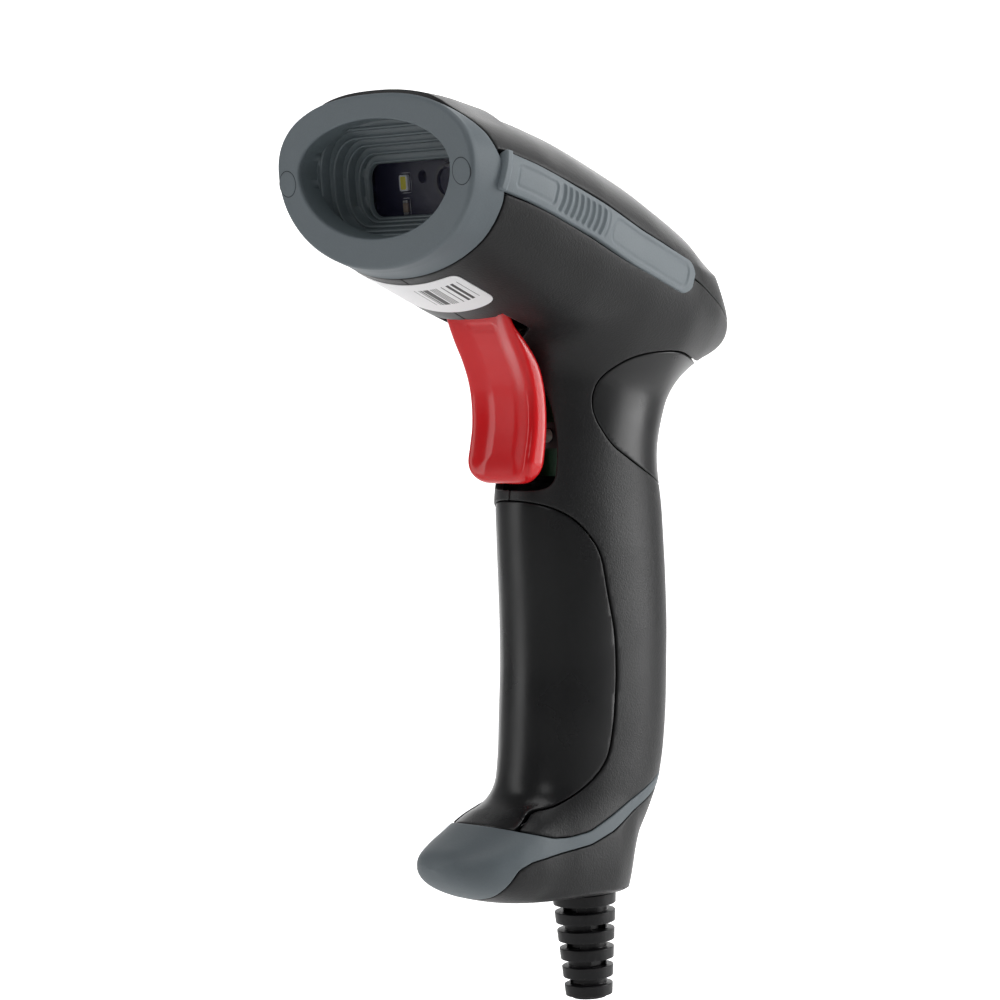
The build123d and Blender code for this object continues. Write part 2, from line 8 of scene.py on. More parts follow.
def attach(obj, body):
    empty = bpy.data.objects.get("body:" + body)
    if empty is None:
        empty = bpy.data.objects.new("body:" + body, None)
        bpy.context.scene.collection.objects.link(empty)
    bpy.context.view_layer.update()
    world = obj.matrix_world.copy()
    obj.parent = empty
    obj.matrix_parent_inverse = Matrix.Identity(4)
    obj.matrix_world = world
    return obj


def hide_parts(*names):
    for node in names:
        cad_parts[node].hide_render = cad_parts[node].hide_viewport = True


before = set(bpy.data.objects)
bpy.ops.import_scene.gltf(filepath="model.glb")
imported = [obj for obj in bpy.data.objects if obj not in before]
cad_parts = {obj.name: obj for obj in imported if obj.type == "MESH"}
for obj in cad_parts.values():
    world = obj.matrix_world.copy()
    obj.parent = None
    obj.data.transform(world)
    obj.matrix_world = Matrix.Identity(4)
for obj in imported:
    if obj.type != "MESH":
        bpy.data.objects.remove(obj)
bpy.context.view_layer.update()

MM = 0.001

# ---- Camera, floor and lights ----
# A long lens looks almost level at the right front of the scanner. The scanner is held in the air over a pale
# floor that curves up behind it, between large soft panels.
back = Vector((0.7510, -0.6598, 0.02443)).normalized()
right = Vector((0.660, 0.7513, 0.0)).normalized()
camera_data = bpy.data.cameras.new("camera")
camera_data.lens = 130.25
camera_data.sensor_width = 36.0
camera_data.clip_end = 30.0
camera = bpy.data.objects.new("camera", camera_data)
bpy.context.collection.objects.link(camera)
camera.matrix_world = Matrix.Translation((0.6209, -0.5716, 0.0565)) @ Matrix(
    (right, back.cross(right), back)).transposed().to_4x4()
bpy.context.scene.camera = camera
bpy.context.scene.view_settings.view_transform = "Standard"

sweep_rows = [(-3.0, -0.24), (1.2, -0.24)]
sweep_rows += [(1.2 + 1.0 * math.sin(a), 0.76 - 1.0 * math.cos(a)) for a in np.linspace(0.05, math.pi / 2, 16)]
sweep_rows += [(2.2, 3.2)]
turn = math.radians(48.7)
floor_points = []
for away, up in sweep_rows:
    for side in (-4.0, 4.0):
        floor_points.append((-math.sin(turn) * away + math.cos(turn) * side,
                             math.cos(turn) * away + math.sin(turn) * side, up))
floor_faces = [(2 * i, 2 * i + 1, 2 * i + 3, 2 * i + 2) for i in range(len(sweep_rows) - 1)]
floor_mesh = bpy.data.meshes.new("floor")
floor_mesh.from_pydata(floor_points, [], floor_faces)
floor_mesh.shade_smooth()
floor = bpy.data.objects.new("floor", floor_mesh)
bpy.context.collection.objects.link(floor)
paper = bpy.data.materials.new("studio_paper")
paper.use_nodes = True
paper_shader = paper.node_tree.nodes["Principled BSDF"]
paper_shader.inputs["Base Color"].default_value = (0.92, 0.92, 0.92, 1)
paper_shader.inputs["Roughness"].default_value = 0.9
paper_shader.inputs["Emission Color"].default_value = (1, 1, 1, 1)


def wired(tree, kind, inputs, **settings):
    """A new node with its settings, values and links; it gives back the node's outputs."""
    node = tree.nodes.new(kind)
    for key, value in settings.items():
        setattr(node, key, value)
    for key, value in inputs.items():
        if isinstance(value, bpy.types.NodeSocket):
            tree.links.new(value, node.inputs[key])
        else:
            node.inputs[key].default_value = value
    return node.outputs


glow_place = wired(paper.node_tree, "ShaderNodeTexCoord", {})["Object"]
glow_reach = wired(paper.node_tree, "ShaderNodeVectorMath", {0: glow_place, 1: (-1.375, 1.208, 0.0)},
                   operation="DISTANCE")["Value"]
glow_fade = wired(paper.node_tree, "ShaderNodeMapRange", {
    "Value": glow_reach, "From Min": 1.0, "From Max": 1.7, "To Min": 1.05, "To Max": 0.12})["Result"]
paper.node_tree.links.new(glow_fade, paper_shader.inputs["Emission Strength"])
floor_mesh.materials.append(paper)


def panel(name, place, size, power, aim=(0, -0.01, 0.05)):
    """A soft light panel that faces the scanner."""
    data = bpy.data.lights.new(name, "AREA")
    data.shape, data.size, data.size_y, data.energy = "RECTANGLE", size[0], size[1], power
    lamp = bpy.data.objects.new(name, data)
    bpy.context.collection.objects.link(lamp)
    lamp.location = place
    lamp.rotation_mode = "QUATERNION"
    lamp.rotation_quaternion = (Vector(aim) - Vector(place)).to_track_quat("-Z", "Y")
    return lamp


lamps = [
    panel("panel_top", (0.25, -0.15, 1.1), (0.9, 0.9), 5.0),
    panel("panel_left", (-0.55, -0.75, 0.25), (0.35, 0.9), 1.9),
    panel("panel_right", (0.72, 0.9, 0.3), (0.45, 1.0), 9.0),
    panel("panel_front", (0.75, -0.95, 0.55), (0.5, 0.5), 1.3),
    panel("panel_rear", (-0.35, 0.85, 0.55), (0.8, 0.6), 3.0),
]
world = bpy.data.worlds.new("studio")
world.use_nodes = True
world.node_tree.nodes["Background"].inputs["Color"].default_value = (1, 1, 1, 1)
world.node_tree.nodes["Background"].inputs["Strength"].default_value = 0.12
bpy.context.scene.world = world

# ---- Housing, in black glass-filled nylon ----
# Two grip halves and a top cover, injection moulded with a fine spark-eroded texture, meet the pads, the foot and
# the nose at narrow parting lines. They are screwed together from the left side.


def smooth_line(points, spread=2.2):
    """A rule through (place, value) points, rounded over a spread in millimetres."""
    places, values = np.array(points, float).T
    order = np.argsort(places)
    places, values = places[order], values[order]
    step = 0.25
    table = np.arange(places[0], places[-1] + step, step)
    heights = np.interp(table, places, values)
    reach = int(3 * spread / step)
    weights = np.exp(-0.5 * (np.arange(-reach, reach + 1) * step / spread) ** 2)
    padded = np.pad(heights, reach, mode="reflect", reflect_type="odd")
    rounded = np.convolve(padded, weights / weights.sum(), mode="valid")
    return lambda place: np.interp(place, table, rounded)


head_top = smooth_line([(-72, 127.0), (-57.6, 125.9), (-40.5, 122.5), (-30, 119.6), (-22.3, 116.7), (-8.7, 111.2),
                        (6.2, 103.8), (12, 100.6), (22.5, 94.0), (28.5, 89.2), (32.6, 85.6), (35.8, 82.5),
                        (38.5, 79.5), (40.6, 77.3), (41.9, 75.9)], 1.6)
head_low = smooth_line([(-72, 87.3), (-61.8, 87.9), (-57.6, 87.0), (-50, 83.3), (-40.5, 79.2), (-36, 77.0),
                        (-22.3, 71.8), (-4, 67.4), (12, 65.4), (24.4, 66.6), (32.8, 68.6), (36.4, 70.0), (38.8, 71.8),
                        (40.8, 73.8), (41.9, 75.3)], 1.6)
head_waist = smooth_line([(-72, 111.4), (-57.6, 109), (-40.5, 103.5), (-22.3, 97.6), (-4, 91.8), (12, 86.5),
                          (24.4, 81.3), (32.8, 77.6), (39, 75.8), (41.9, 75.6)])
head_half = smooth_line([(-72, 34.1), (-57.6, 33.9), (-40.5, 33.6), (-22.3, 32.2), (-4, 29.8), (12, 26.3),
                         (24.4, 20.3), (31.2, 15.6), (34.6, 12.6), (37.2, 9.6), (39.3, 6.4), (40.9, 3.4),
                         (41.9, 1.0)], 1.6)
grip_front = smooth_line([(95, -12), (78, -18), (70, -20.8), (63, -21.2), (57, -21.2), (46, -22.0), (36, -23.6),
                          (23.5, -22.9), (10, -22), (-3, -21.7), (-20, -22.4), (-25, -22.8), (-30, -23.6),
                          (-36, -24.6), (-60, -26)])
grip_rear = smooth_line([(95, 28), (78, 27.4), (70, 25.6), (66, 23.8), (62.6, 22.2), (58.2, 20.2), (50, 18.0),
                         (44, 17.9), (35, 19.7), (20, 20.7), (7, 21.1), (-12, 20.8), (-22, 20.1), (-29, 18.9),
                         (-36, 15.8), (-41, 12.8), (-46, 9.9), (-51, 8.6), (-60, 7.6)])
grip_half = smooth_line([(95, 22), (78, 19.5), (71, 17.6), (65, 16.3), (57, 15.3), (46, 14.9), (35, 15.0),
                         (8, 15.6), (-14, 15.6), (-30, 15), (-38, 14.4), (-50, 13.4), (-60, 13.0)])
foot_top = smooth_line([(-47.2, -46.4), (-46.4, -44.6), (-44.4, -42.9), (-41.5, -41.5), (-38, -39.7), (-33, -37.0),
                        (-28, -33.8), (-20, -31.2), (-5, -30.5), (14, -31)], 1.0)
foot_low = smooth_line([(-47.2, -46.2), (-46.3, -48.4), (-44, -50.6), (-41.5, -52.2), (-38, -53.6), (-33, -55),
                        (-28, -56.6), (-20, -57.6), (14, -57.6)], 1.0)
foot_half = smooth_line([(-47.2, 1.0), (-46.5, 4.4), (-45, 7.4), (-42, 10.3), (-38, 12.7), (-32, 14.6),
                         (-26, 15.2), (-15, 15.3), (-2, 14.2), (4, 11.6), (8, 7.4), (10.4, 2.0), (14, 1.0)], 1.0)
base_level = -55.4
head_round, grip_round, foot_round = (2.05, 2.35), 2.25, 2.5


def soft_join(a, b, width):
    """The nearer of two shapes, with a fillet of about this width where they meet."""
    share = np.clip(width - np.abs(a - b), 0, None) / width
    return np.minimum(a, b) - share * share * width / 4


def radial(across, along, reach_across, reach_along, power):
    """Signed distance from a superellipse, measured along the ray from its middle."""
    share = ((np.abs(across) / reach_across) ** power + (np.abs(along) / reach_along) ** power) ** (1 / power)
    share = np.maximum(share, 1e-4)
    return np.hypot(across, along) * (1 - 1 / share)


def skin_field(p):
    """Below zero inside the scanner's outer skin, in millimetres."""
    x, y, z = p[..., 0], p[..., 1], p[..., 2]
    waist = head_waist(y)
    above = z > waist
    tall = np.where(above, head_top(y) - waist, waist - head_low(y))
    power = np.where(above, head_round[1], head_round[0])
    head = radial(x, z - waist, np.maximum(head_half(y), 0.5), np.maximum(tall, 0.3), power)
    head = -soft_join(-head, -(y - 45.3), 1.5)
    middle, deep = (grip_front(z) + grip_rear(z)) / 2, (grip_rear(z) - grip_front(z)) / 2
    grip = radial(x, y - middle, grip_half(z), deep, grip_round)
    grip = np.maximum(grip, np.maximum(z - 84, -53 - z))
    middle, tall = (foot_top(y) + foot_low(y)) / 2, np.maximum((foot_top(y) - foot_low(y)) / 2, 0.3)
    foot = radial(x, z - middle, np.maximum(foot_half(y), 0.4), tall, foot_round)
    foot = -soft_join(-foot, -np.maximum(y - 11.6, -47.1 - y), 2.5)
    body = soft_join(soft_join(head, grip, 9.0), foot, 5.0)
    return -soft_join(-body, -(base_level - z), 1.2)


def skin_normal(p):
    """The direction straight out of the skin at each point, and the field's slope there."""
    slope = np.zeros_like(p)
    for axis in range(3):
        step = np.zeros(3)
        step[axis] = 0.05
        slope[:, axis] = (skin_field(p + step) - skin_field(p - step)) / 0.1
    size = np.maximum(np.linalg.norm(slope, axis=1, keepdims=True), 0.2)
    return slope / size, size


def onto_skin(p, times=5):
    """Points moved onto the skin."""
    for _ in range(times):
        normal, size = skin_normal(p)
        p = p - normal * np.clip(skin_field(p)[:, None] / size, -0.6, 0.6)
    return p


def skin_mesh(low, high, cell, field=None, settle=None):
    """A closed net over the skin, or over another field, found cell by cell and cut into triangles."""
    field, settle = field or skin_field, settle or onto_skin
    axes = [np.arange(a, b + cell, cell) for a, b in zip(low, high)]
    grid = np.stack(np.meshgrid(*axes, indexing="ij"), -1)
    value = field(grid)
    inside = value < 0
    shape = np.array(value.shape) - 1
    total = np.zeros(tuple(shape) + (3,))
    count = np.zeros(tuple(shape))
    for axis in range(3):
        others = [a for a in range(3) if a != axis]
        first = [slice(None)] * 3
        second = [slice(None)] * 3
        first[axis], second[axis] = slice(None, -1), slice(1, None)
        a, b = value[tuple(first)], value[tuple(second)]
        crossing = (a < 0) != (b < 0)
        share = np.where(crossing, a / np.where(crossing, a - b, 1), 0)
        point = grid[tuple(first)].copy()
        point[..., axis] += share * cell
        point *= crossing[..., None]
        for i in (0, 1):
            for j in (0, 1):
                window = [slice(None)] * 3
                for other, corner in zip(others, (i, j)):
                    window[other] = slice(corner, corner + shape[other])
                total += point[tuple(window)]
                count += crossing[tuple(window)]
    used = count > 0
    number = -np.ones(tuple(shape), int)
    number[used] = np.arange(used.sum())
    points = settle(total[used] / count[used][:, None])
    triangles = []
    for axis in range(3):
        u, v = [(1, 2), (2, 0), (0, 1)][axis]
        first = [slice(1, -1)] * 3
        second = [slice(1, -1)] * 3
        first[axis], second[axis] = slice(None, -1), slice(1, None)
        a, b = inside[tuple(first)], inside[tuple(second)]
        for flip, chosen in ((False, a & ~b), (True, ~a & b)):
            at = np.argwhere(chosen)
            corner = at.copy()
            corner[:, u] += 1
            corner[:, v] += 1
            ring = []
            for du, dv in ((-1, -1), (0, -1), (0, 0), (-1, 0)):
                c = corner.copy()
                c[:, u] += du
                c[:, v] += dv
                ring.append(number[tuple(c.T)])
            quad = np.stack(ring[::-1] if flip else ring, 1)
            triangles += [quad[:, [0, 1, 2]], quad[:, [0, 2, 3]]]
    return points, np.concatenate(triangles)


def rounded_outline(points, steps=8):
    """A smooth closed outline through side-view points."""
    p = np.array(points, float)
    a, b, c, d = (np.roll(p, k, axis=0) for k in (1, 0, -1, -2))
    t = np.linspace(0, 1, steps, endpoint=False)[:, None, None]
    curve = 0.5 * (2 * b + (c - a) * t + (2 * a - 5 * b + 4 * c - d) * t ** 2 + (3 * b - a - 3 * c + d) * t ** 3)
    return curve.transpose(1, 0, 2).reshape(-1, 2)


def inside_outline(p, outline):
    """Signed distance to a side-view outline, below zero inside it."""
    q = p[:, 1:3]
    best = np.full(len(q), 1e9)
    crossings = np.zeros(len(q), int)
    for a, b in zip(outline, np.roll(outline, -1, axis=0)):
        along = b - a
        share = np.clip(((q - a) @ along) / max(along @ along, 1e-12), 0, 1)
        best = np.minimum(best, ((q - a - share[:, None] * along) ** 2).sum(1))
        if a[1] != b[1]:
            spans = (a[1] > q[:, 1]) != (b[1] > q[:, 1])
            crossings += spans & (q[:, 0] < a[0] + (q[:, 1] - a[1]) * along[0] / along[1])
    return np.where(crossings % 2 == 1, -1, 1) * np.sqrt(best)


NOSE_LINE = [(-95, 150), (-66.6, 150), (-66.4, 136), (-65.6, 128.6), (-62.3, 122.6), (-57.6, 116.6), (-54.6, 110),
             (-53.7, 102), (-54.2, 94), (-55.6, 86), (-57, 78), (-57.5, 60), (-95, 60)]
TOP_LINE = [(-95, 170), (-95, 120), (-54, 108.5), (-37, 103.6), (-23, 98.8), (-9, 93.6), (8, 87.4), (30, 79.0),
            (46, 74.8), (80, 68), (80, 170)]
STRIP = [(-55.6, 111.8), (-54.6, 113.0), (-46, 110.9), (-37.4, 108.1), (-23.6, 103.3), (-9.6, 97.2), (2.4, 92.9),
         (7.6, 89.4), (9.2, 86.9), (7.8, 84.9), (3.7, 84.4), (-2.1, 86.3), (-16.6, 90.8), (-30.6, 96.3),
         (-44.2, 101.1), (-54.6, 103.9), (-55.7, 105.2)]
PAD = [(23.6, 68.2), (11.4, 70.3), (0, 69.4), (-6.7, 66.1), (-10.1, 61.6), (-9.8, 55.8), (-5.6, 49.7), (0, 46),
       (8, 42.2), (20.4, 38.0), (34, 34.0), (46, 66.0)]
INSERT = [(-40, 37.6), (-29.4, 37.2), (-21.8, 35.6), (-15.8, 32.7), (-11.4, 28.7), (-8, 23.5), (-6.1, 14.7),
          (-4.3, 5.8), (-3.8, -3), (-4.1, -10), (-4.7, -16.3), (-6.2, -22.9), (-10.3, -27.9), (-16.4, -31.8),
          (-24, -34.0), (-40, -34.6)]
BAND_TOP = [(40, -17), (11.6, -28.8), (1.2, -33.2), (-6.1, -36.7), (-12.1, -39.3), (-18, -40.2), (-22.7, -40.1),
            (-30.2, -38.3), (-38.8, -35.8), (-70, -28)]
BAND_FOOT = [(-36.6, -90), (-36.4, -55), (-35.6, -51.6), (-34.2, -48.9), (-32.8, -46.7), (-29.4, -45.2),
             (-21.5, -43.8), (-12, -42.4), (-4.9, -39.9), (2.4, -35.9), (11.3, -32.1), (40, -20.3)]
TRIGGER_MOUTH = [(-60, 38.8), (-30, 38.8), (-25.6, 38.6), (-20.8, 38.9), (-18.7, 41.0), (-18.0, 45.0),
                 (-17.9, 50.0), (-18.4, 56.0), (-19.8, 62.6), (-22.2, 68.6), (-26.0, 73.6), (-30.2, 77.0),
                 (-33.2, 78.7), (-35.4, 78.4), (-37.4, 76.6), (-60, 70)]
points, triangles = skin_mesh((-37, -70, -58), (37, 47.5, 134), 1.0)
net = np.column_stack([
    points,
    inside_outline(points, np.array(NOSE_LINE)),
    inside_outline(points, np.array(TOP_LINE)),
    inside_outline(points, rounded_outline(STRIP)),
    inside_outline(points, rounded_outline(PAD)),
    inside_outline(points, rounded_outline(INSERT)),
    inside_outline(points, np.array(BAND_TOP + [(-70, -90), (40, -90)])),
    inside_outline(points, np.array(BAND_TOP + [(-70, -90)] + BAND_FOOT)),
    np.maximum(inside_outline(points, rounded_outline(TRIGGER_MOUTH)), np.abs(points[:, 0]) - 11.5),
])
NOSE, TOP, STRIPS, PADS, INSERTS, FOOT, TOE, MOUTH = range(3, 11)


def keep_below(rows, faces, measure):
    """The part of a triangle net where a measure, one per row, is at or below zero."""
    measure = np.where(np.abs(measure) < 0.04, 0.0, measure)
    low = measure <= 0
    kept = [faces[low[faces].all(1)]]
    mixed = faces[low[faces].any(1) & ~low[faces].all(1)]
    extra, seen = [], {}

    def between(a, b):
        """The new point where the measure is zero on an edge."""
        if measure[a] == 0:
            return a
        key = (a, b)
        if key not in seen:
            share = measure[a] / (measure[a] - measure[b])
            seen[key] = len(rows) + len(extra)
            extra.append(rows[a] + (rows[b] - rows[a]) * share)
        return seen[key]

    cut = []
    for face in mixed.tolist():
        for turn_by in range(3):
            a, b, c = face[turn_by], face[(turn_by + 1) % 3], face[(turn_by + 2) % 3]
            if low[a] and not low[b] and not low[c]:
                cut.append((a, between(a, b), between(a, c)))
            if low[a] and low[b] and not low[c]:
                across_b, across_a = between(b, c), between(a, c)
                cut += [(a, b, across_b), (a, across_b, across_a)]
    if cut:
        kept.append(np.array(cut))
    faces = np.concatenate(kept)
    faces = faces[(faces[:, 0] != faces[:, 1]) & (faces[:, 1] != faces[:, 2]) & (faces[:, 0] != faces[:, 2])]
    rows = np.concatenate([rows, np.array(extra)]) if extra else rows
    used = np.unique(faces)
    place = -np.ones(len(rows), int)
    place[used] = np.arange(len(used))
    return rows[used], place[faces]


def finished(name, verts, faces, material, smooth_angle=40.0):
    """A closed mesh in millimetres made into an object with its material."""
    mesh = bpy.data.meshes.new(name)
    mesh.from_pydata((np.asarray(verts, float) * MM).tolist(), [], [list(map(int, f)) for f in faces])
    mesh.validate()
    mesh.shade_smooth()
    mesh.set_sharp_from_angle(angle=math.radians(smooth_angle))
    mesh.materials.append(material)
    piece = bpy.data.objects.new(name, mesh)
    bpy.context.collection.objects.link(piece)
    return piece


def moulding(name, cuts, thick, material, raise_by=0.0, gap=0.12, lip=0.28):
    """A piece of the skin inside the given cuts, given a wall and a rounded edge."""
    rows, faces = net, triangles
    for measure in cuts:
        rows, faces = keep_below(rows, faces, measure(rows) + gap + lip)
    place = rows[:, :3]
    normal, _ = skin_normal(place)
    place = place + normal * (raise_by(rows) if callable(raise_by) else raise_by)
    edges = np.concatenate([faces[:, [0, 1]], faces[:, [1, 2]], faces[:, [2, 0]]])
    code = edges[:, 0] * len(rows) + edges[:, 1]
    border = edges[~np.isin(code, edges[:, 1] * len(rows) + edges[:, 0])]
    outward = np.zeros_like(place)
    step = place[border[:, 1]] - place[border[:, 0]]
    side = np.cross(step, normal[border[:, 0]])
    for end in (0, 1):
        np.add.at(outward, border[:, end], side)
    size = np.linalg.norm(outward, axis=1, keepdims=True)
    outward = outward / np.maximum(size, 1e-9)
    rim = np.unique(border)
    number = {int(v): i for i, v in enumerate(rim)}
    base = place - normal * thick
    base[rim] = place[rim] + outward[rim] * lip - normal[rim] * thick
    rims = [place[rim] + outward[rim] * lip * out - normal[rim] * lip * down
            for out, down in ((0.55, 0.16), (0.87, 0.5), (1.0, 1.0))]
    verts = np.concatenate([place, base] + rims)
    count = len(place)
    all_faces = [tuple(f) for f in faces] + [(f[0] + count, f[2] + count, f[1] + count) for f in faces]
    for a, b in border.tolist():
        i, j = number[a], number[b]
        line_a = [a] + [2 * count + k * len(rim) + i for k in range(3)] + [a + count]
        line_b = [b] + [2 * count + k * len(rim) + j for k in range(3)] + [b + count]
        for k in range(4):
            all_faces.append((line_b[k], line_a[k], line_a[k + 1], line_b[k + 1]))
    return finished(name, verts, all_faces, material)


def moulded(name, colour, roughness, grain=0.35, depth=0.012, patch=0.08, spread=0.05, coat=0.0,
            specular=0.5, metallic=0.0):
    """A moulded plastic or rubber: a fine pitted grain, faint colour patches and uneven gloss."""
    material = bpy.data.materials.new(name)
    material.use_nodes = True
    tree = material.node_tree
    shader = tree.nodes["Principled BSDF"]
    place = wired(tree, "ShaderNodeTexCoord", {})["Object"]
    broad = wired(tree, "ShaderNodeTexNoise", {"Vector": place, "Scale": 55.0, "Detail": 4.0})["Fac"]
    fine = wired(tree, "ShaderNodeTexNoise", {"Vector": place, "Scale": 1000.0 / grain, "Detail": 2.0})["Fac"]
    shift = wired(tree, "ShaderNodeMath", {0: broad, 1: 0.4}, operation="MULTIPLY")[0]
    blend = wired(tree, "ShaderNodeMath", {0: fine, 1: 0.6, 2: shift}, operation="MULTIPLY_ADD")[0]
    tint = wired(tree, "ShaderNodeMix", {0: blend, 6: (*[c * (1 - patch) for c in colour], 1),
                                         7: (*[min(c * (1 + patch), 1) for c in colour], 1)}, data_type="RGBA")[2]
    gloss = wired(tree, "ShaderNodeMapRange", {"Value": broad, "From Min": 0.3, "From Max": 0.7,
                                               "To Min": roughness - spread, "To Max": roughness + spread})["Result"]
    bump = wired(tree, "ShaderNodeBump", {"Strength": 1.0, "Distance": depth * MM, "Height": fine})["Normal"]
    for socket, value in (("Base Color", tint), ("Roughness", gloss), ("Normal", bump)):
        tree.links.new(value, shader.inputs[socket])
    shader.inputs["Coat Weight"].default_value = coat
    shader.inputs["Specular IOR Level"].default_value = specular
    shader.inputs["Metallic"].default_value = metallic
    return material


housing_black = moulded("housing_black", (0.010, 0.0103, 0.011), 0.42, 0.45, 0.06, 0.18, 0.04, specular=0.36)
pad_black = moulded("pad_black", (0.009, 0.0093, 0.010), 0.3, 0.5, 0.006, 0.1, 0.05, specular=0.4)


def part(*names):
    """The measures of named cuts, for rows of the net: a minus sign means outside the cut."""
    table = {"nose": NOSE, "top": TOP, "strip": STRIPS, "pad": PADS, "insert": INSERTS, "foot": FOOT,
             "toe": TOE, "mouth": MOUTH}
    measures = []
    for name in names:
        sign = -1.0 if name[0] == "-" else 1.0
        measures.append(lambda rows, column=table[name.lstrip("-")], sign=sign: sign * rows[:, column])
    return measures


def ease(value):
    """A smooth step from 0 to 1."""
    value = np.clip(value, 0, 1)
    return value * value * (3 - 2 * value)


def brow(rows):
    """The raised front edge of the top cover, over the nose."""
    rise = 1.1 * ease((-44.5 - rows[:, 1]) / 3.0) * ease((27 - np.abs(rows[:, 0])) / 10)
    return (rise * ease((rows[:, 2] - 112) / 6))[:, None]


for name, side in (("left_housing", 1.0), ("right_housing", -1.0)):
    half = moulding(name + "_skin", part("-nose", "-top", "-strip", "-pad", "-insert", "-foot", "-mouth")
                    + [lambda rows, side=side: side * rows[:, 0] - 0.02], 2.0, housing_black)
    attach(half, "scanner")
    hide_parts(name)
top_skin = moulding("top_cover_skin", part("-nose", "top", "-strip"), 2.0, housing_black, brow)
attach(top_skin, "scanner")
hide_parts("top_cover")

# ---- Palm pad and finger insert ----
# Two smooth satin panels let into the textured housing: one wraps the back of the neck, where the thumb closes,
# the other the front of the grip under the fingers. They clip into shallow recesses.
pad_skin = moulding("rear_pad_skin", part("pad"), 1.2, pad_black, 0.02)
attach(pad_skin, "scanner")
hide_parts("rear_pad")
insert_skin = moulding("grip_insert_skin", part("insert", "-foot"), 0.9, pad_black, -0.35, lip=0.35)
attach(insert_skin, "scanner")
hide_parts("grip_insert")

# ---- Foot: soft grey toe and black base cap ----
# The toe is a grey thermoplastic rubber moulding whose thin band runs back round the grip. The base cap under it
# is black nylon and holds the boot.
grey_rubber = moulded("grey_rubber", (0.118, 0.142, 0.156), 0.55, 0.45, 0.03, 0.1, 0.05)
toe_skin = moulding("toe_bumper_skin", part("toe"), 1.9, grey_rubber, 0.05)
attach(toe_skin, "scanner")
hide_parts("toe_bumper")
cap_skin = moulding("base_cap_skin", part("foot", "-toe") + [
    lambda rows: 6.9 - np.hypot(rows[:, 0], rows[:, 1])], 1.9, housing_black)
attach(cap_skin, "scanner")
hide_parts("base_cap")

# ---- Nose bumper and its two plugs ----
# A thick ring of grey thermoplastic rubber closes the front of the head. Its flat face leans forward and has an
# egg-shaped opening. Two round plugs cover the screws that hold it to lugs in the top cover.
nose_y, nose_z, nose_lean = -64.0, 110.0, math.radians(6.0)
columns = 240
angles = np.linspace(0, 2 * math.pi, columns, endpoint=False)


def egg(reach, above, below, power_above, power_below):
    """An egg-shaped loop, as (across, up) points."""
    c, s = np.cos(angles), np.sin(angles)
    power = np.where(s >= 0, power_above, power_below)
    across = reach * np.sign(c) * np.abs(c) ** (2 / power)
    up = np.where(s >= 0, above, below) * np.sign(s) * np.abs(s) ** (2 / power)
    return np.stack([across, up], 1)


def at_depth(loop, depth):
    """A loop on the nose face, carried back to a depth behind it."""
    s, c = math.sin(nose_lean), math.cos(nose_lean)
    return np.stack([loop[:, 0], nose_y - s * loop[:, 1] + c * depth, nose_z + c * loop[:, 1] + s * depth], 1)


def joined_rows(start, rows, count, closed):
    """The quads between loops that follow one another in a list of points."""
    faces = []
    for row in range(rows if closed else rows - 1):
        low, high = start + row * count, start + (row + 1) % rows * count
        faces += [(low + i, high + i, high + (i + 1) % count, low + (i + 1) % count) for i in range(count)]
    return faces


def loops_mesh(name, loops, material, smooth_angle):
    """A ring-shaped piece: loops of equal count joined row to row, the last one back to the first."""
    faces = joined_rows(0, len(loops), len(loops[0]), True)
    return finished(name, np.concatenate(loops), faces, material, smooth_angle)


def stacks_mesh(name, stacks, material):
    """Stacks of loops, each joined row to row and closed at both ends, as one piece."""
    verts, faces = [], []
    for loops in stacks:
        start, count = sum(len(v) for v in verts), len(loops[0])
        end = start + (len(loops) - 1) * count
        verts.append(np.concatenate(loops))
        faces += joined_rows(start, len(loops), count, False)
        faces += [tuple(range(start, start + count)), tuple(range(end + count - 1, end - 1, -1))]
    return finished(name, np.concatenate(verts), faces, material, 45.0)


def grown_loop(loop, amount):
    """A loop in (across, up), pushed outwards by an amount."""
    before, after = np.roll(loop, 1, axis=0), np.roll(loop, -1, axis=0)
    along = after - before
    normal = np.stack([along[:, 1], -along[:, 0]], 1)
    return loop + normal / np.linalg.norm(normal, axis=1, keepdims=True) * amount


def head_ring(rear):
    """The head's skin at each angle, at a place along y given by a rule of height, and its outward normal."""
    place = np.full(columns, -60.0)
    for _ in range(12):
        c, s = np.cos(angles), np.sin(angles)
        waist = head_waist(place)
        tall = np.where(s >= 0, head_top(place) - waist, waist - head_low(place))
        power = np.where(s >= 0, head_round[1], head_round[0])
        x = head_half(place) * np.sign(c) * np.abs(c) ** (2 / power)
        z = waist + tall * np.sign(s) * np.abs(s) ** (2 / power)
        place = 0.5 * place + 0.5 * rear(z)
    return np.stack([x, place, z], 1)


nose_rear = np.array(NOSE_LINE[2:-1])
order = np.argsort(nose_rear[:, 1])
face_front = lambda z: nose_y - math.tan(nose_lean) * (z - nose_z)
rear_line = lambda z: np.maximum(np.interp(z, nose_rear[order, 1], nose_rear[order, 0]) - 0.15,
                                 face_front(z) + 1.7)
mouth = egg(26.3, 11.1, 15.3, 2.0, 2.05)
crease = head_ring(lambda z: face_front(z) + 0.1)
edge = np.stack([crease[:, 0], (crease[:, 2] - nose_z) / math.cos(nose_lean)], 1)
nose_loops = [at_depth(grown_loop(mouth, 0.55), 5.3), at_depth(grown_loop(mouth, 0.55), 0.95), at_depth(mouth, 0.95),
              at_depth(mouth, 0.55)]
for step in np.linspace(0.15, 1.0, 6):
    bend = step * math.pi / 2
    nose_loops.append(at_depth(grown_loop(mouth, 0.5 * (1 - math.cos(bend))), 0.55 - 0.55 * math.sin(bend)))
for step in (0.25, 0.5, 0.75):
    nose_loops.append(at_depth(grown_loop(mouth, 0.5) * (1 - step) + grown_loop(edge, -1.1) * step, 0.0))
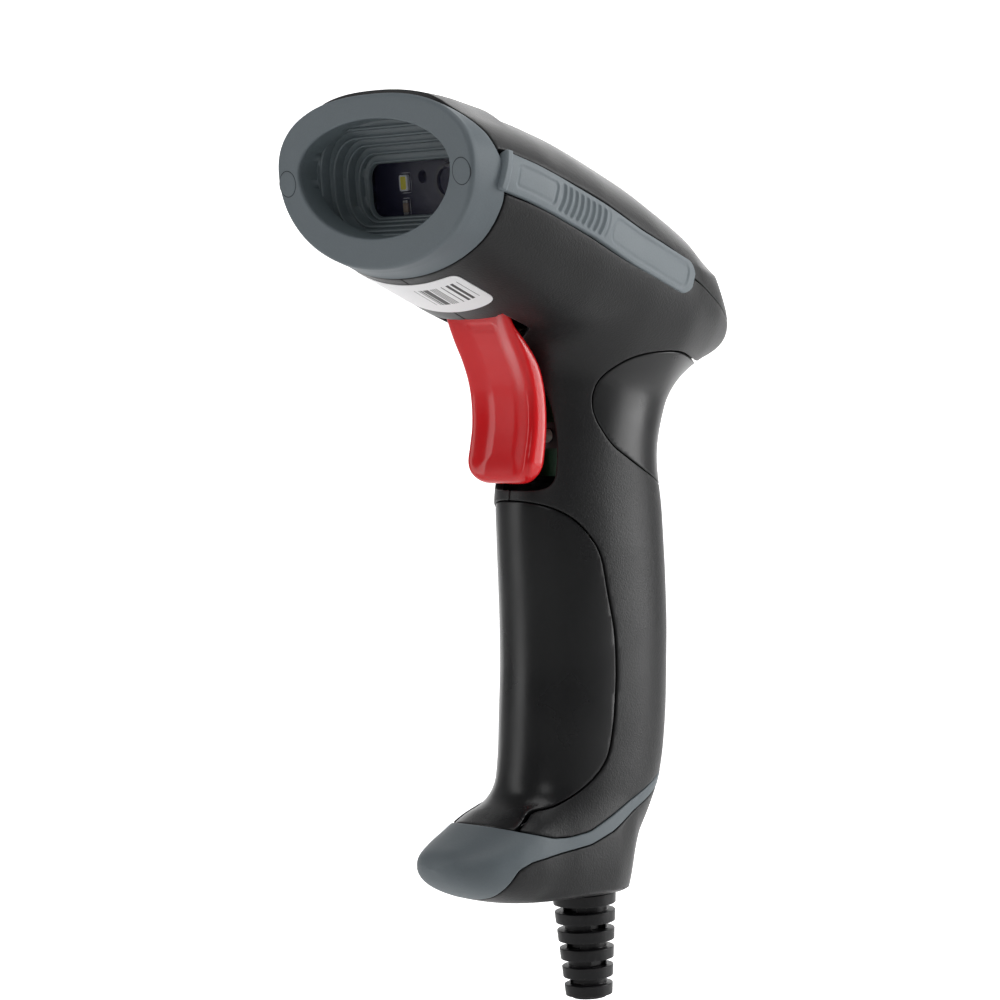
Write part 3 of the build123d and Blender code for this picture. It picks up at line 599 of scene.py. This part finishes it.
for step in np.linspace(0.0, 1.0, 6):
    bend = step * math.pi / 2
    nose_loops.append(at_depth(grown_loop(edge, -1.1 + 1.1 * math.sin(bend)), 1.1 - 1.1 * math.cos(bend)))
for step in np.linspace(0.12, 1.0, 8):
    ring = head_ring(lambda z, step=step: (face_front(z) + 1.25) * (1 - step) + rear_line(z) * step)
    nose_loops.append(ring)
last = nose_loops[-1]
ring_normal, _ = skin_normal(last)
inward = ring_normal.copy()
inward[:, 1] = 0
inward /= np.linalg.norm(inward, axis=1, keepdims=True)
nose_loops[-1] = last - np.array([0, 0.25, 0])
nose_loops += [last - inward * 0.25, last - inward * 2.1]
inner_edge = last - inward * 2.1
inner_edge[:, 1] = np.minimum(inner_edge[:, 1], face_front(inner_edge[:, 2]) + 5.3)
nose_loops += [inner_edge]
grey_face = moulded("grey_face", (0.126, 0.152, 0.168), 0.55, 0.4, 0.03, 0.12, 0.05)
bumper = loops_mesh("nose_bumper_ring", nose_loops, grey_face, 50.0)
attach(bumper, "scanner")
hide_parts("nose_bumper")
plug_places = [(-30.3, -1.8), (30.3, -1.8)]
plug_reach = 2.9
# Painted shade: a near-black colour for the thin gap round each plug, where shade falls.
painted_gap_shade = moulded("plug_ring_painted_shade", (0.03, 0.037, 0.042), 0.8, 0.4, 0.01, 0.1, 0.03)


def lathe(name, middles, profile, material, count=64):
    """Round pieces on the nose face, from (radius, depth) pairs that run from the front to the rear."""
    turns = np.linspace(0, 2 * math.pi, count, endpoint=False)
    circle = np.stack([np.cos(turns), np.sin(turns)], 1)
    return stacks_mesh(name, [[at_depth(middle + reach * circle, depth) for reach, depth in profile]
                              for middle in np.array(middles)], material)


plugs = lathe("nose_plug_pair", plug_places, [(1.4, -0.07), (plug_reach - 0.25, -0.07), (plug_reach - 0.1, -0.04),
                                              (plug_reach, 0.06), (plug_reach, 1.7), (0.4, 1.75)], grey_face)
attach(plugs, "scanner")
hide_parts("nose_plugs")
# Painted shade: a near-black disc behind each plug, showing as a dark ring in the gap round it.
plug_shade_discs = lathe("nose_plug_shade_discs", plug_places, [(1.5, 0.02), (plug_reach + 0.14, -0.015), (plug_reach + 0.16, 0.3),
                                               (0.5, 0.3)], painted_gap_shade)
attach(plug_shade_discs, "scanner")

# ---- Light hood ----
# A tunnel with five rounded steps narrows from the bumper to the window and keeps stray light off the sensor.
# It is moulded in matt grey plastic like the bumper; its colour is painted darker than the bumper's for the shade
# inside the tunnel. Its front rim is glued behind the bumper.
# Painted shade: the bumper's grey, darkened to stand for the shade that falls inside the hood.
hood_dark = moulded("hood_dark", (0.10, 0.125, 0.137), 0.45, 0.35, 0.02, 0.1, 0.06)
HOOD_STEPS = [(5.3, 24.3, 8.9, -14.5, 9.4), (7.7, 22.6, 6.9, -13.6, 8.4), (10.1, 20.9, 5.1, -12.6, 7.2),
              (12.2, 19.2, 3.2, -11.7, 5.8), (13.5, 17.6, 1.2, -11.0, 3.6)]


def soft_rectangle(reach, top, bottom, corner):
    """A rounded rectangle, found along each angle from its middle."""
    middle, tall = (top + bottom) / 2, (top - bottom) / 2
    ray = np.stack([np.cos(angles), np.sin(angles) * 0.62], 1)
    low, high = np.zeros(columns), np.full(columns, 80.0)
    for _ in range(40):
        half = (low + high) / 2
        q = np.abs(ray * half[:, None]) - np.array([reach - corner, tall - corner])
        outside = np.hypot(*np.maximum(q, 0).T) + np.minimum(q.max(1), 0) - corner > 0
        low, high = np.where(outside, low, half), np.where(outside, half, high)
    return ray * low[:, None] + np.array([0, middle])


hood_loops = [at_depth(grown_loop(mouth, 0.5), 1.0), at_depth(grown_loop(mouth, 0.02), 1.0),
              at_depth(grown_loop(mouth, -0.25), 3.2), at_depth(grown_loop(mouth, -0.4), 5.2)]
for index, (depth, reach, top, bottom, corner) in enumerate(HOOD_STEPS):
    after = HOOD_STEPS[index + 1][0] if index + 1 < len(HOOD_STEPS) else 14.5
    loop = soft_rectangle(reach, top, bottom, corner)
    hood_loops += [at_depth(grown_loop(loop, 0.8), depth + 0.12), at_depth(grown_loop(loop, 0.55), depth - 0.1),
                   at_depth(grown_loop(loop, 0.3), depth - 0.2), at_depth(grown_loop(loop, 0.1), depth - 0.08),
                   at_depth(loop, depth + 0.25), at_depth(grown_loop(loop, -0.12), after - 0.15)]
back_loop = soft_rectangle(HOOD_STEPS[-1][1] + 2.9, HOOD_STEPS[-1][2] + 2.9, HOOD_STEPS[-1][3] - 2.9, 5.0)
hood_loops += [at_depth(back_loop, 14.55), at_depth(grown_loop(soft_rectangle(*HOOD_STEPS[2][1:]), 2.4), 12.0),
               at_depth(grown_loop(soft_rectangle(*HOOD_STEPS[0][1:]), 2.0), 8.0),
               at_depth(grown_loop(mouth, 0.9), 5.9), at_depth(grown_loop(mouth, 0.5), 5.4)]
hood = loops_mesh("light_hood_steps", hood_loops, hood_dark, 60.0)
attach(hood, "scanner")
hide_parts("light_hood")

# ---- Window and optics ----
# A clear acrylic window closes the hood. Behind it a navy circuit board carries two white lamps and their
# resistors round the black lens barrel; a black chassis holds this board, the lens and the line sensor.
window_clear = moulded("window_clear", (0.03, 0.03, 0.06), 0.06, 2.0, 0.0005, 0.1, 0.02, specular=0.35)
window_clear.node_tree.nodes["Principled BSDF"].inputs["Alpha"].default_value = 0.16


def face_plates(name, spots, size, near, far, corner, edge_round, material):
    """Small rounded plates that lie parallel to the nose face, between two depths."""
    sections = ((edge_round * 2, near), (edge_round, near), (edge_round * 0.3, near + edge_round * 0.3),
                (0.0, near + edge_round), (0.0, far))
    stacks = []
    for spot in np.array(spots, float):
        stacks.append([])
        for inset, depth in sections:
            outline = soft_rectangle(size[0] / 2 - inset, size[1] / 2 - inset, inset - size[1] / 2,
                                     max(corner - inset, 0.02))
            stacks[-1].append(at_depth(outline[::6] + spot, depth))
    return stacks_mesh(name, stacks, material)


window = face_plates("scan_window_plate", [(0, -4.9)], (37.2, 14.2), 14.62, 16.0, 2.5, 0.15, window_clear)
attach(window, "scanner")
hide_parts("scan_window")

board_navy = moulded("board_navy", (0.012, 0.013, 0.032), 0.38, 0.6, 0.01, 0.3, 0.08)
phosphor = moulded("lamp_phosphor", (0.86, 0.78, 0.05), 0.55, 0.3, 0.02, 0.08, 0.05)
lamp_case = moulded("lamp_case", (0.86, 0.88, 0.9), 0.4, 0.4, 0.01, 0.03, 0.05)
silk_white = moulded("silk_white", (0.62, 0.63, 0.66), 0.6, 0.2, 0.01, 0.1, 0.05)
part_beige = moulded("part_beige", (0.36, 0.28, 0.2), 0.5, 0.3, 0.01, 0.15, 0.05)
tinned = moulded("tinned_metal", (0.62, 0.62, 0.6), 0.35, 0.3, 0.01, 0.1, 0.08, metallic=1.0)
board_front = 18.4
lamp_spots = [(-10.5, -3.6), (14.2, -3.6)]
lamp_cases = face_plates("lamp_cases", lamp_spots, (2.9, 3.7), board_front - 0.8, board_front - 0.02, 0.35, 0.08,
                         lamp_case)
lamp_dots = face_plates("lamp_phosphors", lamp_spots, (1.9, 3.0), board_front - 0.83, board_front - 0.5, 0.3, 0.05,
                        phosphor)
resistor_spots = [(-10.7, -9.2), (14.2, -9.2)]
resistors = face_plates("resistor_bodies", resistor_spots, (1.6, 2.1), board_front - 0.55, board_front - 0.02,
                        0.1, 0.05, part_beige)
resistor_ends = face_plates("resistor_ends", [(a, u + shift) for a, u in resistor_spots for shift in (-1.35, 1.35)],
                            (1.6, 0.6), board_front - 0.55, board_front - 0.02, 0.1, 0.05, tinned)
silk = []
for index, ((across, up), (wide, tall)) in enumerate(
        [(spot, (3.7, 4.5)) for spot in lamp_spots] + [(spot, (2.5, 4.3)) for spot in resistor_spots]):
    for k, (da, du, sa, su) in enumerate(((0, tall / 2, wide, 0.16), (0, -tall / 2, wide, 0.16),
                                          (wide / 2, 0, 0.16, tall), (-wide / 2, 0, 0.16, tall))):
        silk.append(face_plates(f"board_line_{index}_{k}", [(across + da, up + du)], (sa, su), board_front - 0.03,
                                board_front - 0.005, 0.03, 0.005, silk_white))
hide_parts("illumination_leds")
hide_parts("optics_resistors")
for piece in (lamp_cases, lamp_dots, resistors, resistor_ends, *silk):
    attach(piece, "scanner")
barrel_black = moulded("barrel_black", (0.012, 0.012, 0.014), 0.3, 0.4, 0.01, 0.2, 0.08)
lens_blue = moulded("lens_coating", (0.01, 0.012, 0.03), 0.08, 3.0, 0.0005, 0.2, 0.03, coat=0.6)

# ---- Side strips ----
# A grey rubber strip on each side of the head starts in a raised tab over the nose's edge, then has a sunk
# rectangle, eight curved ridges for a finger and a long sunk panel. It is glued into a recess.
STRIP_LINE = [(-55.4, 108.9), (-52.0, 108.0), (-46.0, 106.4), (-39.0, 104.0), (-25.2, 99.0), (-11.4, 93.2),
              (-3.0, 90.3), (3.5, 88.2), (9.3, 86.4)]
strip_half = (4.45, 4.15)
ridge_count, first_ridge, ridge_pitch = 8, 19.6, 1.95


def sheet_faces(rows, cols):
    """The faces of a thin closed sheet: a grid of points, and the same grid again underneath."""
    count, faces = rows * cols, []
    for r in range(rows - 1):
        for a in range(r * cols, r * cols + cols - 1):
            faces.append((a, a + 1, a + cols + 1, a + cols))
            faces.append((count + a, count + a + cols, count + a + cols + 1, count + a + 1))
    loop = list(range(cols)) + [r * cols + cols - 1 for r in range(1, rows)]
    loop += [(rows - 1) * cols + c for c in range(cols - 2, -1, -1)] + [r * cols for r in range(rows - 2, 0, -1)]
    return faces + [(b, a, count + a, count + b) for a, b in zip(loop, loop[1:] + loop[:1])]


def strip_side(name, side):
    """One side strip, as a fine grid over the head's side with its relief pressed in."""
    line = np.array(STRIP_LINE)
    reach = np.concatenate([[0], np.cumsum(np.linalg.norm(np.diff(line, axis=0), axis=1))])
    length = reach[-1]
    rows, cols = 380, 44
    fine = np.linspace(0, 1, rows)
    s = length * np.where(fine < 0.9, fine / 0.9 * 0.93, 0.93 + 0.07 * np.sin((fine - 0.9) / 0.1 * math.pi / 2))
    s[-1] = length
    dense = np.linspace(0, length, 500)
    raw = np.stack([np.interp(dense, reach, line[:, k]) for k in (0, 1)], 1)
    kernel = np.exp(-0.5 * (np.arange(-20, 21) / 8) ** 2)
    smooth = np.stack([np.convolve(np.pad(raw[:, k], 20, mode="reflect", reflect_type="odd"), kernel / kernel.sum(),
                                   mode="valid") for k in (0, 1)], 1)
    centre = np.stack([np.interp(s, dense, smooth[:, k]) for k in (0, 1)], 1)
    along = np.gradient(centre, axis=0)
    along /= np.maximum(np.linalg.norm(along, axis=1, keepdims=True), 1e-9)
    across_dir = np.stack([-along[:, 1], along[:, 0]], 1)
    half = np.interp(s, [0, length], strip_half)
    end, nose_end = 3.9, 1.1
    half = half * np.sqrt(np.clip(1 - (np.clip(s - (length - end), 0, None) / end) ** 2.2, 0.0004, 1))
    half = half - nose_end * (1 - np.sqrt(np.clip(1 - (np.clip(nose_end - s, 0, None) / nose_end) ** 2, 0, 1)))
    t = np.linspace(-1, 1, cols)
    t = np.sign(t) * (1 - (1 - np.abs(t)) ** 1.4)
    yz = centre[:, None, :] + across_dir[:, None, :] * (half[:, None] * t[None, :])[..., None]
    y, z = yz[..., 0].ravel(), yz[..., 1].ravel()
    waist = head_waist(y)
    tall = np.where(z > waist, head_top(y) - waist, waist - head_low(y))
    power = np.where(z > waist, head_round[1], head_round[0])
    x = head_half(y) * np.clip(1 - (np.abs(z - waist) / tall) ** power, 0, 1) ** (1 / power)
    skin = np.stack([x, y, z], 1)
    normal, _ = skin_normal(skin)
    s_all = np.repeat(s, cols)
    off = (half[:, None] * t[None, :]).ravel()
    rim = np.minimum((np.repeat(half, cols) - np.abs(off)), np.minimum(s_all, length - s_all))
    rise = 0.42 - 0.75 * (1 - ease(rim / 0.55)) ** 2
    rise += 0.85 * ease((2.6 - s_all) / 0.9)

    def sunk(start, stop, wide, corner, deep):
        """A shallow recess with rounded corners."""
        qa = np.abs(s_all - (start + stop) / 2) - ((stop - start) / 2 - corner)
        qo = np.abs(off) - (wide - corner)
        gap = np.hypot(np.maximum(qa, 0), np.maximum(qo, 0)) + np.minimum(np.maximum(qa, qo), 0) - corner
        groove = np.exp(-(gap / 0.28) ** 2)
        return -deep * ease(-gap / 0.3) - 0.24 * groove

    rise += sunk(5.0, 16.8, 2.35, 0.9, 0.2)
    bow = s_all + 0.055 * off ** 2
    ridge = np.zeros_like(s_all)
    for k in range(ridge_count):
        ridge = np.maximum(ridge, np.exp(-((bow - first_ridge - ridge_pitch * k) / 0.42) ** 2))
    rise += (0.55 * ridge - 0.15) * ease((3.3 - np.abs(off)) / 0.6) * ease((bow - 18.2) / 0.5) * ease(
        (35.2 - bow) / 0.5)
    rise += sunk(36.6, length - 3.0, 2.7, 1.9, 0.2)
    top = skin + normal * rise[:, None]
    low = skin - normal * 1.15
    verts = np.concatenate([top, low])
    verts[:, 0] *= side
    faces = sheet_faces(rows, cols)
    if side > 0:
        faces = [f[::-1] for f in faces]
    return finished(name + "_relief", verts, faces, strip_rubber, 60.0)


strip_rubber = moulded("strip_rubber", (0.165, 0.195, 0.213), 0.5, 0.45, 0.03, 0.1, 0.05)
for name, side in (("side_strip_left", -1), ("side_strip_right", 1)):
    strip = strip_side(name, side)
    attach(strip, "scanner")
    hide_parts(name)

# ---- Trigger ----
# A glossy red ABS lever with a dished front between two rounded edges. It turns on a steel pin near its top and
# its back presses the switch. Only its front and edges show.
trigger_red = moulded("trigger_red", (0.72, 0.010, 0.014), 0.17, 1.2, 0.0012, 0.04, 0.03, coat=0.15, specular=0.35)
TRIGGER_SIDE = [(-36.5, 82.0), (-34.4, 79.0), (-32.9, 75.5), (-31.2, 71.9), (-29.0, 67.8), (-27.2, 63.2),
                (-26.3, 58.6), (-26.1, 53.3), (-26.7, 48.8), (-27.3, 45.2), (-27.0, 42.0), (-25.4, 39.9),
                (-23.4, 40.0), (-22.1, 42.6), (-21.4, 46.5), (-20.9, 51.0), (-20.8, 56.0), (-21.5, 62.2),
                (-23.4, 67.6), (-27.2, 72.6), (-31.0, 76.6), (-33.4, 82.0)]
trigger_reach, trigger_rim, trigger_foot, trigger_corner = 10.9, 1.7, 39.3, 6.2
TRIGGER_DISH = [(39, -24), (46, -24.2), (53, -23.6), (58, -23.7), (63, -24.6), (68, -26.6), (73, -29.4), (80, -34)]
trigger_outline = rounded_outline(TRIGGER_SIDE, 4)


def trigger_field(grid):
    """The trigger's side outline crossed with its front outline, with round edges and a dished front."""
    shape = grid.shape[:-1]
    p = grid.reshape(-1, 3)
    y_values, z_values = np.unique(p[:, 1]), np.unique(p[:, 2])
    if len(y_values) * len(z_values) < len(p) / 4:
        yz = np.stack(np.meshgrid([0.0], y_values, z_values, indexing="ij"), -1).reshape(-1, 3)
        table = inside_outline(yz, trigger_outline)
        place = np.searchsorted(y_values, p[:, 1]) * len(z_values) + np.searchsorted(z_values, p[:, 2])
        side = table[place]
    else:
        side = inside_outline(p, trigger_outline)
    qx, qz = np.abs(p[:, 0]) - (trigger_reach - trigger_corner), trigger_foot + trigger_corner - p[:, 2]
    front = np.hypot(np.maximum(qx, 0), np.maximum(qz, 0)) + np.minimum(np.maximum(qx, qz), 0) - trigger_corner
    near = np.interp(p[:, 2], *zip(*TRIGGER_DISH))
    facing = ease((near - p[:, 1] + 0.6) / 1.4)
    side = side + 1.35 * ease((-front - 0.2) / 7.4) * facing
    a, b = side + trigger_rim, front + trigger_rim
    both = np.hypot(np.maximum(a, 0), np.maximum(b, 0)) + np.minimum(np.maximum(a, b), 0) - trigger_rim
    return np.maximum(both, p[:, 2] - 78.8).reshape(shape)


def trigger_settle(p):
    """Points of the trigger net moved onto its surface."""
    for _ in range(3):
        value = trigger_field(p)
        slope = np.stack([trigger_field(p + step) - value for step in np.eye(3) * 0.02], 1) / 0.02
        size = np.maximum((slope ** 2).sum(1), 0.2)
        p = p - slope * np.clip(value / size, -0.3, 0.3)[:, None]
    return p


trigger_verts, trigger_faces = skin_mesh((-12, -38, 37), (12, -18, 83), 0.4, trigger_field, trigger_settle)
trigger = finished("trigger_lever_moulding", trigger_verts, trigger_faces, trigger_red, 180.0)
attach(trigger, "trigger_lever")
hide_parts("trigger")

# ---- Cord boot ----
# A black PVC strain relief with rings, notched by turns so that it bends. Its flange sits inside the base cap.
boot_black = moulded("boot_black", (0.007, 0.007, 0.008), 0.42, 0.6, 0.02, 0.15, 0.06, specular=0.3)


def softened(node, name, material, width):
    """A carried-over piece with its doubles merged and its edges rounded."""
    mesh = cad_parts[node].data.copy()
    piece = bpy.data.objects.new(name, mesh)
    bpy.context.collection.objects.link(piece)
    work = bmesh.new()
    work.from_mesh(mesh)
    bmesh.ops.remove_doubles(work, verts=work.verts, dist=2e-6)
    bmesh.ops.dissolve_limit(work, angle_limit=math.radians(1.0), verts=work.verts, edges=work.edges)
    work.to_mesh(mesh)
    work.free()
    mesh.materials.clear()
    mesh.materials.append(material)
    mesh.shade_smooth()
    mesh.set_sharp_from_angle(angle=math.radians(35))
    bevel = piece.modifiers.new("rounded_edges", "BEVEL")
    bevel.width, bevel.segments, bevel.harden_normals = width * MM, 3, False
    bevel.limit_method, bevel.angle_limit = "ANGLE", math.radians(30)
    return piece


boot = softened("cable_boot", "cable_boot_soft", boot_black, 0.35)
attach(boot, "scanner")
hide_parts("cable_boot")

# ---- Paper label ----
# A small white sticker with plain bars and no text lies on the underside of the head, behind the nose.
label_paper = moulded("label_paper", (0.86, 0.86, 0.87), 0.45, 0.25, 0.004, 0.02, 0.04)
label_middle, label_half = (-2.8, -46.6), (18.0, 6.4)


def label_mesh():
    """A thin rounded sheet that follows the underside of the head."""
    rows, cols, power = 30, 80, 9.0
    v, u = np.meshgrid(np.linspace(-1, 1, rows), np.linspace(-1, 1, cols), indexing="ij")
    stretch = (np.abs(u) ** power + np.abs(v) ** power) ** (-1 / power)
    round_off = np.minimum(np.maximum(np.abs(u), np.abs(v)) * stretch, 1.0)
    x = label_middle[0] + label_half[0] * u * round_off
    y = label_middle[1] + label_half[1] * v * round_off
    waist = head_waist(y)
    z = waist - (waist - head_low(y)) * np.clip(1 - (np.abs(x) / head_half(y)) ** head_round[0], 0, 1) ** (
        1 / head_round[0])
    flat = np.stack([x, y, z], -1).reshape(-1, 3)
    normal, _ = skin_normal(flat)
    verts = np.concatenate([flat + normal * 0.13, flat - normal * 0.02])
    faces = [(f[0],) + f[:0:-1] for f in sheet_faces(rows, cols)]
    return verts, faces


label_verts, label_faces = label_mesh()
label = finished("label_sheet", label_verts, label_faces, label_paper, 60.0)
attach(label, "scanner")
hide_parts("label")
bar_tree = label_paper.node_tree
bar_shader = bar_tree.nodes["Principled BSDF"]
paper_tint = bar_shader.inputs["Base Color"].links[0].from_socket
bar_place = wired(bar_tree, "ShaderNodeTexCoord", {})["Object"]
bar_split = wired(bar_tree, "ShaderNodeSeparateXYZ", {0: bar_place})


def bar_math(operation, *values):
    """One step of the sum that draws the bars."""
    return wired(bar_tree, "ShaderNodeMath", dict(enumerate(values)), operation=operation)[0]


bar_cell = bar_math("FLOOR", bar_math("MULTIPLY", bar_split[0], 3200.0))
bar_random = wired(bar_tree, "ShaderNodeTexWhiteNoise", {"W": bar_cell}, noise_dimensions="1D")["Value"]
bar_on = bar_math("GREATER_THAN", bar_random, 0.5)
for axis, low, high in ((0, -0.0015, 0.0133), (1, -0.0506, -0.0438)):
    bar_on = bar_math("MULTIPLY", bar_on, bar_math("GREATER_THAN", bar_split[axis], low))
    bar_on = bar_math("MULTIPLY", bar_on, bar_math("LESS_THAN", bar_split[axis], high))
bar_mix = wired(bar_tree, "ShaderNodeMix", {0: bar_on, 6: paper_tint, 7: (0.02, 0.02, 0.02, 1)}, data_type="RGBA")[2]
bar_tree.links.new(bar_mix, bar_shader.inputs["Base Color"])

# ---- Boards, chassis and fastenings inside ----
# The decoder board hangs from four posts in the top cover; the switch stands on its own board behind the trigger.
# Boards are glass-epoxy laminate, sockets nylon, screws and pin zinc-plated steel, the spring drawn wire.
board_green = moulded("board_green", (0.012, 0.085, 0.035), 0.35, 0.7, 0.01, 0.2, 0.06)
chip_black = moulded("chip_black", (0.02, 0.02, 0.021), 0.5, 0.3, 0.01, 0.15, 0.06)
header_white = moulded("header_white", (0.7, 0.68, 0.62), 0.45, 0.5, 0.01, 0.05, 0.05)
steel = moulded("zinc_steel", (0.55, 0.55, 0.54), 0.35, 0.5, 0.01, 0.12, 0.1, metallic=1.0)


def screw_tree(name, material):
    """A node group that puts one headed, slotted screw on every point."""
    tree = bpy.data.node_groups.new(name, "GeometryNodeTree")
    tree.interface.new_socket("Geometry", in_out="INPUT", socket_type="NodeSocketGeometry")
    tree.interface.new_socket("Geometry", in_out="OUTPUT", socket_type="NodeSocketGeometry")
    for label, kind in (("Head Radius", "NodeSocketFloat"), ("Head Height", "NodeSocketFloat"),
                        ("Shank Radius", "NodeSocketFloat"), ("Shank Length", "NodeSocketFloat"),
                        ("Slot Size", "NodeSocketVector"), ("Turn", "NodeSocketVector")):
        tree.interface.new_socket(label, in_out="INPUT", socket_type=kind)
    given = wired(tree, "NodeGroupInput", {})

    def below(height, radius, shift=None):
        """A cylinder whose top is at the origin, or lower by a shift."""
        rod = wired(tree, "GeometryNodeMeshCylinder",
                    {"Vertices": 40, "Radius": given[radius], "Depth": given[height]})["Mesh"]
        drop = wired(tree, "ShaderNodeMath", {0: given[height], 1: -0.5}, operation="MULTIPLY")[0]
        if shift:
            drop = wired(tree, "ShaderNodeMath", {0: drop, 1: given[shift]}, operation="SUBTRACT")[0]
        offset = wired(tree, "ShaderNodeCombineXYZ", {"Z": drop})[0]
        return wired(tree, "GeometryNodeTransform", {"Geometry": rod, "Translation": offset})[0]

    slot = wired(tree, "GeometryNodeMeshCube", {"Size": given["Slot Size"]})["Mesh"]
    head = wired(tree, "GeometryNodeMeshBoolean", {"Mesh 1": below("Head Height", "Head Radius"), "Mesh 2": slot},
                 operation="DIFFERENCE")["Mesh"]
    join = wired(tree, "GeometryNodeJoinGeometry", {0: head})[0]
    tree.links.new(below("Shank Length", "Shank Radius", "Head Height"), join.node.inputs[0])
    spread = wired(tree, "GeometryNodeInstanceOnPoints",
                   {"Points": given["Geometry"], "Instance": join, "Rotation": given["Turn"]})[0]
    solid = wired(tree, "GeometryNodeRealizeInstances", {0: spread})[0]
    wired(tree, "NodeGroupOutput", {0: wired(tree, "GeometryNodeSetMaterial", {0: solid, "Material": material})[0]})
    return tree


def grown(name, places, tree, values):
    """A node group run on a cloud of points, then made into plain mesh."""
    cloud = bpy.data.meshes.new(name + "_points")
    cloud.from_pydata((np.asarray(places, float) * MM).tolist(), [], [])
    seedling = bpy.data.objects.new(name + "_seed", cloud)
    bpy.context.collection.objects.link(seedling)
    run = seedling.modifiers.new("grow", "NODES")
    run.node_group = tree
    for item in tree.interface.items_tree:
        if item.name in values:
            run[item.identifier] = values[item.name]
    mesh = bpy.data.meshes.new_from_object(seedling.evaluated_get(bpy.context.evaluated_depsgraph_get()))
    bpy.data.objects.remove(seedling)
    mesh.name = name
    mesh.shade_smooth()
    mesh.set_sharp_from_angle(angle=math.radians(30))
    piece = bpy.data.objects.new(name, mesh)
    bpy.context.collection.objects.link(piece)
    return piece


screws = screw_tree("slotted_screws", steel)
case_screws = grown("case_screws", [(-9.5, 1.0, -14.0), (-9.0, 3.0, 30.0), (-8.0, 35.0, 76.5)], screws,
                    {"Head Radius": 0.0022, "Head Height": 0.0016, "Shank Radius": 0.0012, "Shank Length": 0.0142,
                     "Slot Size": (0.0006, 0.0026, 0.0016), "Turn": (0.0, -math.pi / 2, 0.0)})
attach(case_screws, "scanner")
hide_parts("housing_screws")
hinge_pin = grown("hinge_pin", [(-10.6, -20.5, 73.2)], screws,
                  {"Head Radius": 0.0015, "Head Height": 0.001, "Shank Radius": 0.0015, "Shank Length": 0.0202,
                   "Slot Size": (0.0001, 0.0001, 0.0001), "Turn": (0.0, -math.pi / 2, 0.0)})
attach(hinge_pin, "scanner")
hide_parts("trigger_pin")
INSIDE = {
    board_navy: ["illumination_board"],
    barrel_black: ["optics_bracket", "lens_barrel"],
    lens_blue: ["scan_lens"],
    board_green: ["sensor_board", "main_board", "switch_board"],
    chip_black: ["line_sensor", "decoder_chip", "board_chips", "beeper", "switch_body"],
    header_white: ["cable_header", "switch_socket", "switch_plunger", "switch_lead"],
    tinned: ["header_pins"],
    steel: ["board_screws", "nose_screws", "trigger_spring"],
}
for material, nodes in INSIDE.items():
    for node in nodes:
        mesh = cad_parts[node].data
        mesh.materials.clear()
        mesh.materials.append(material)
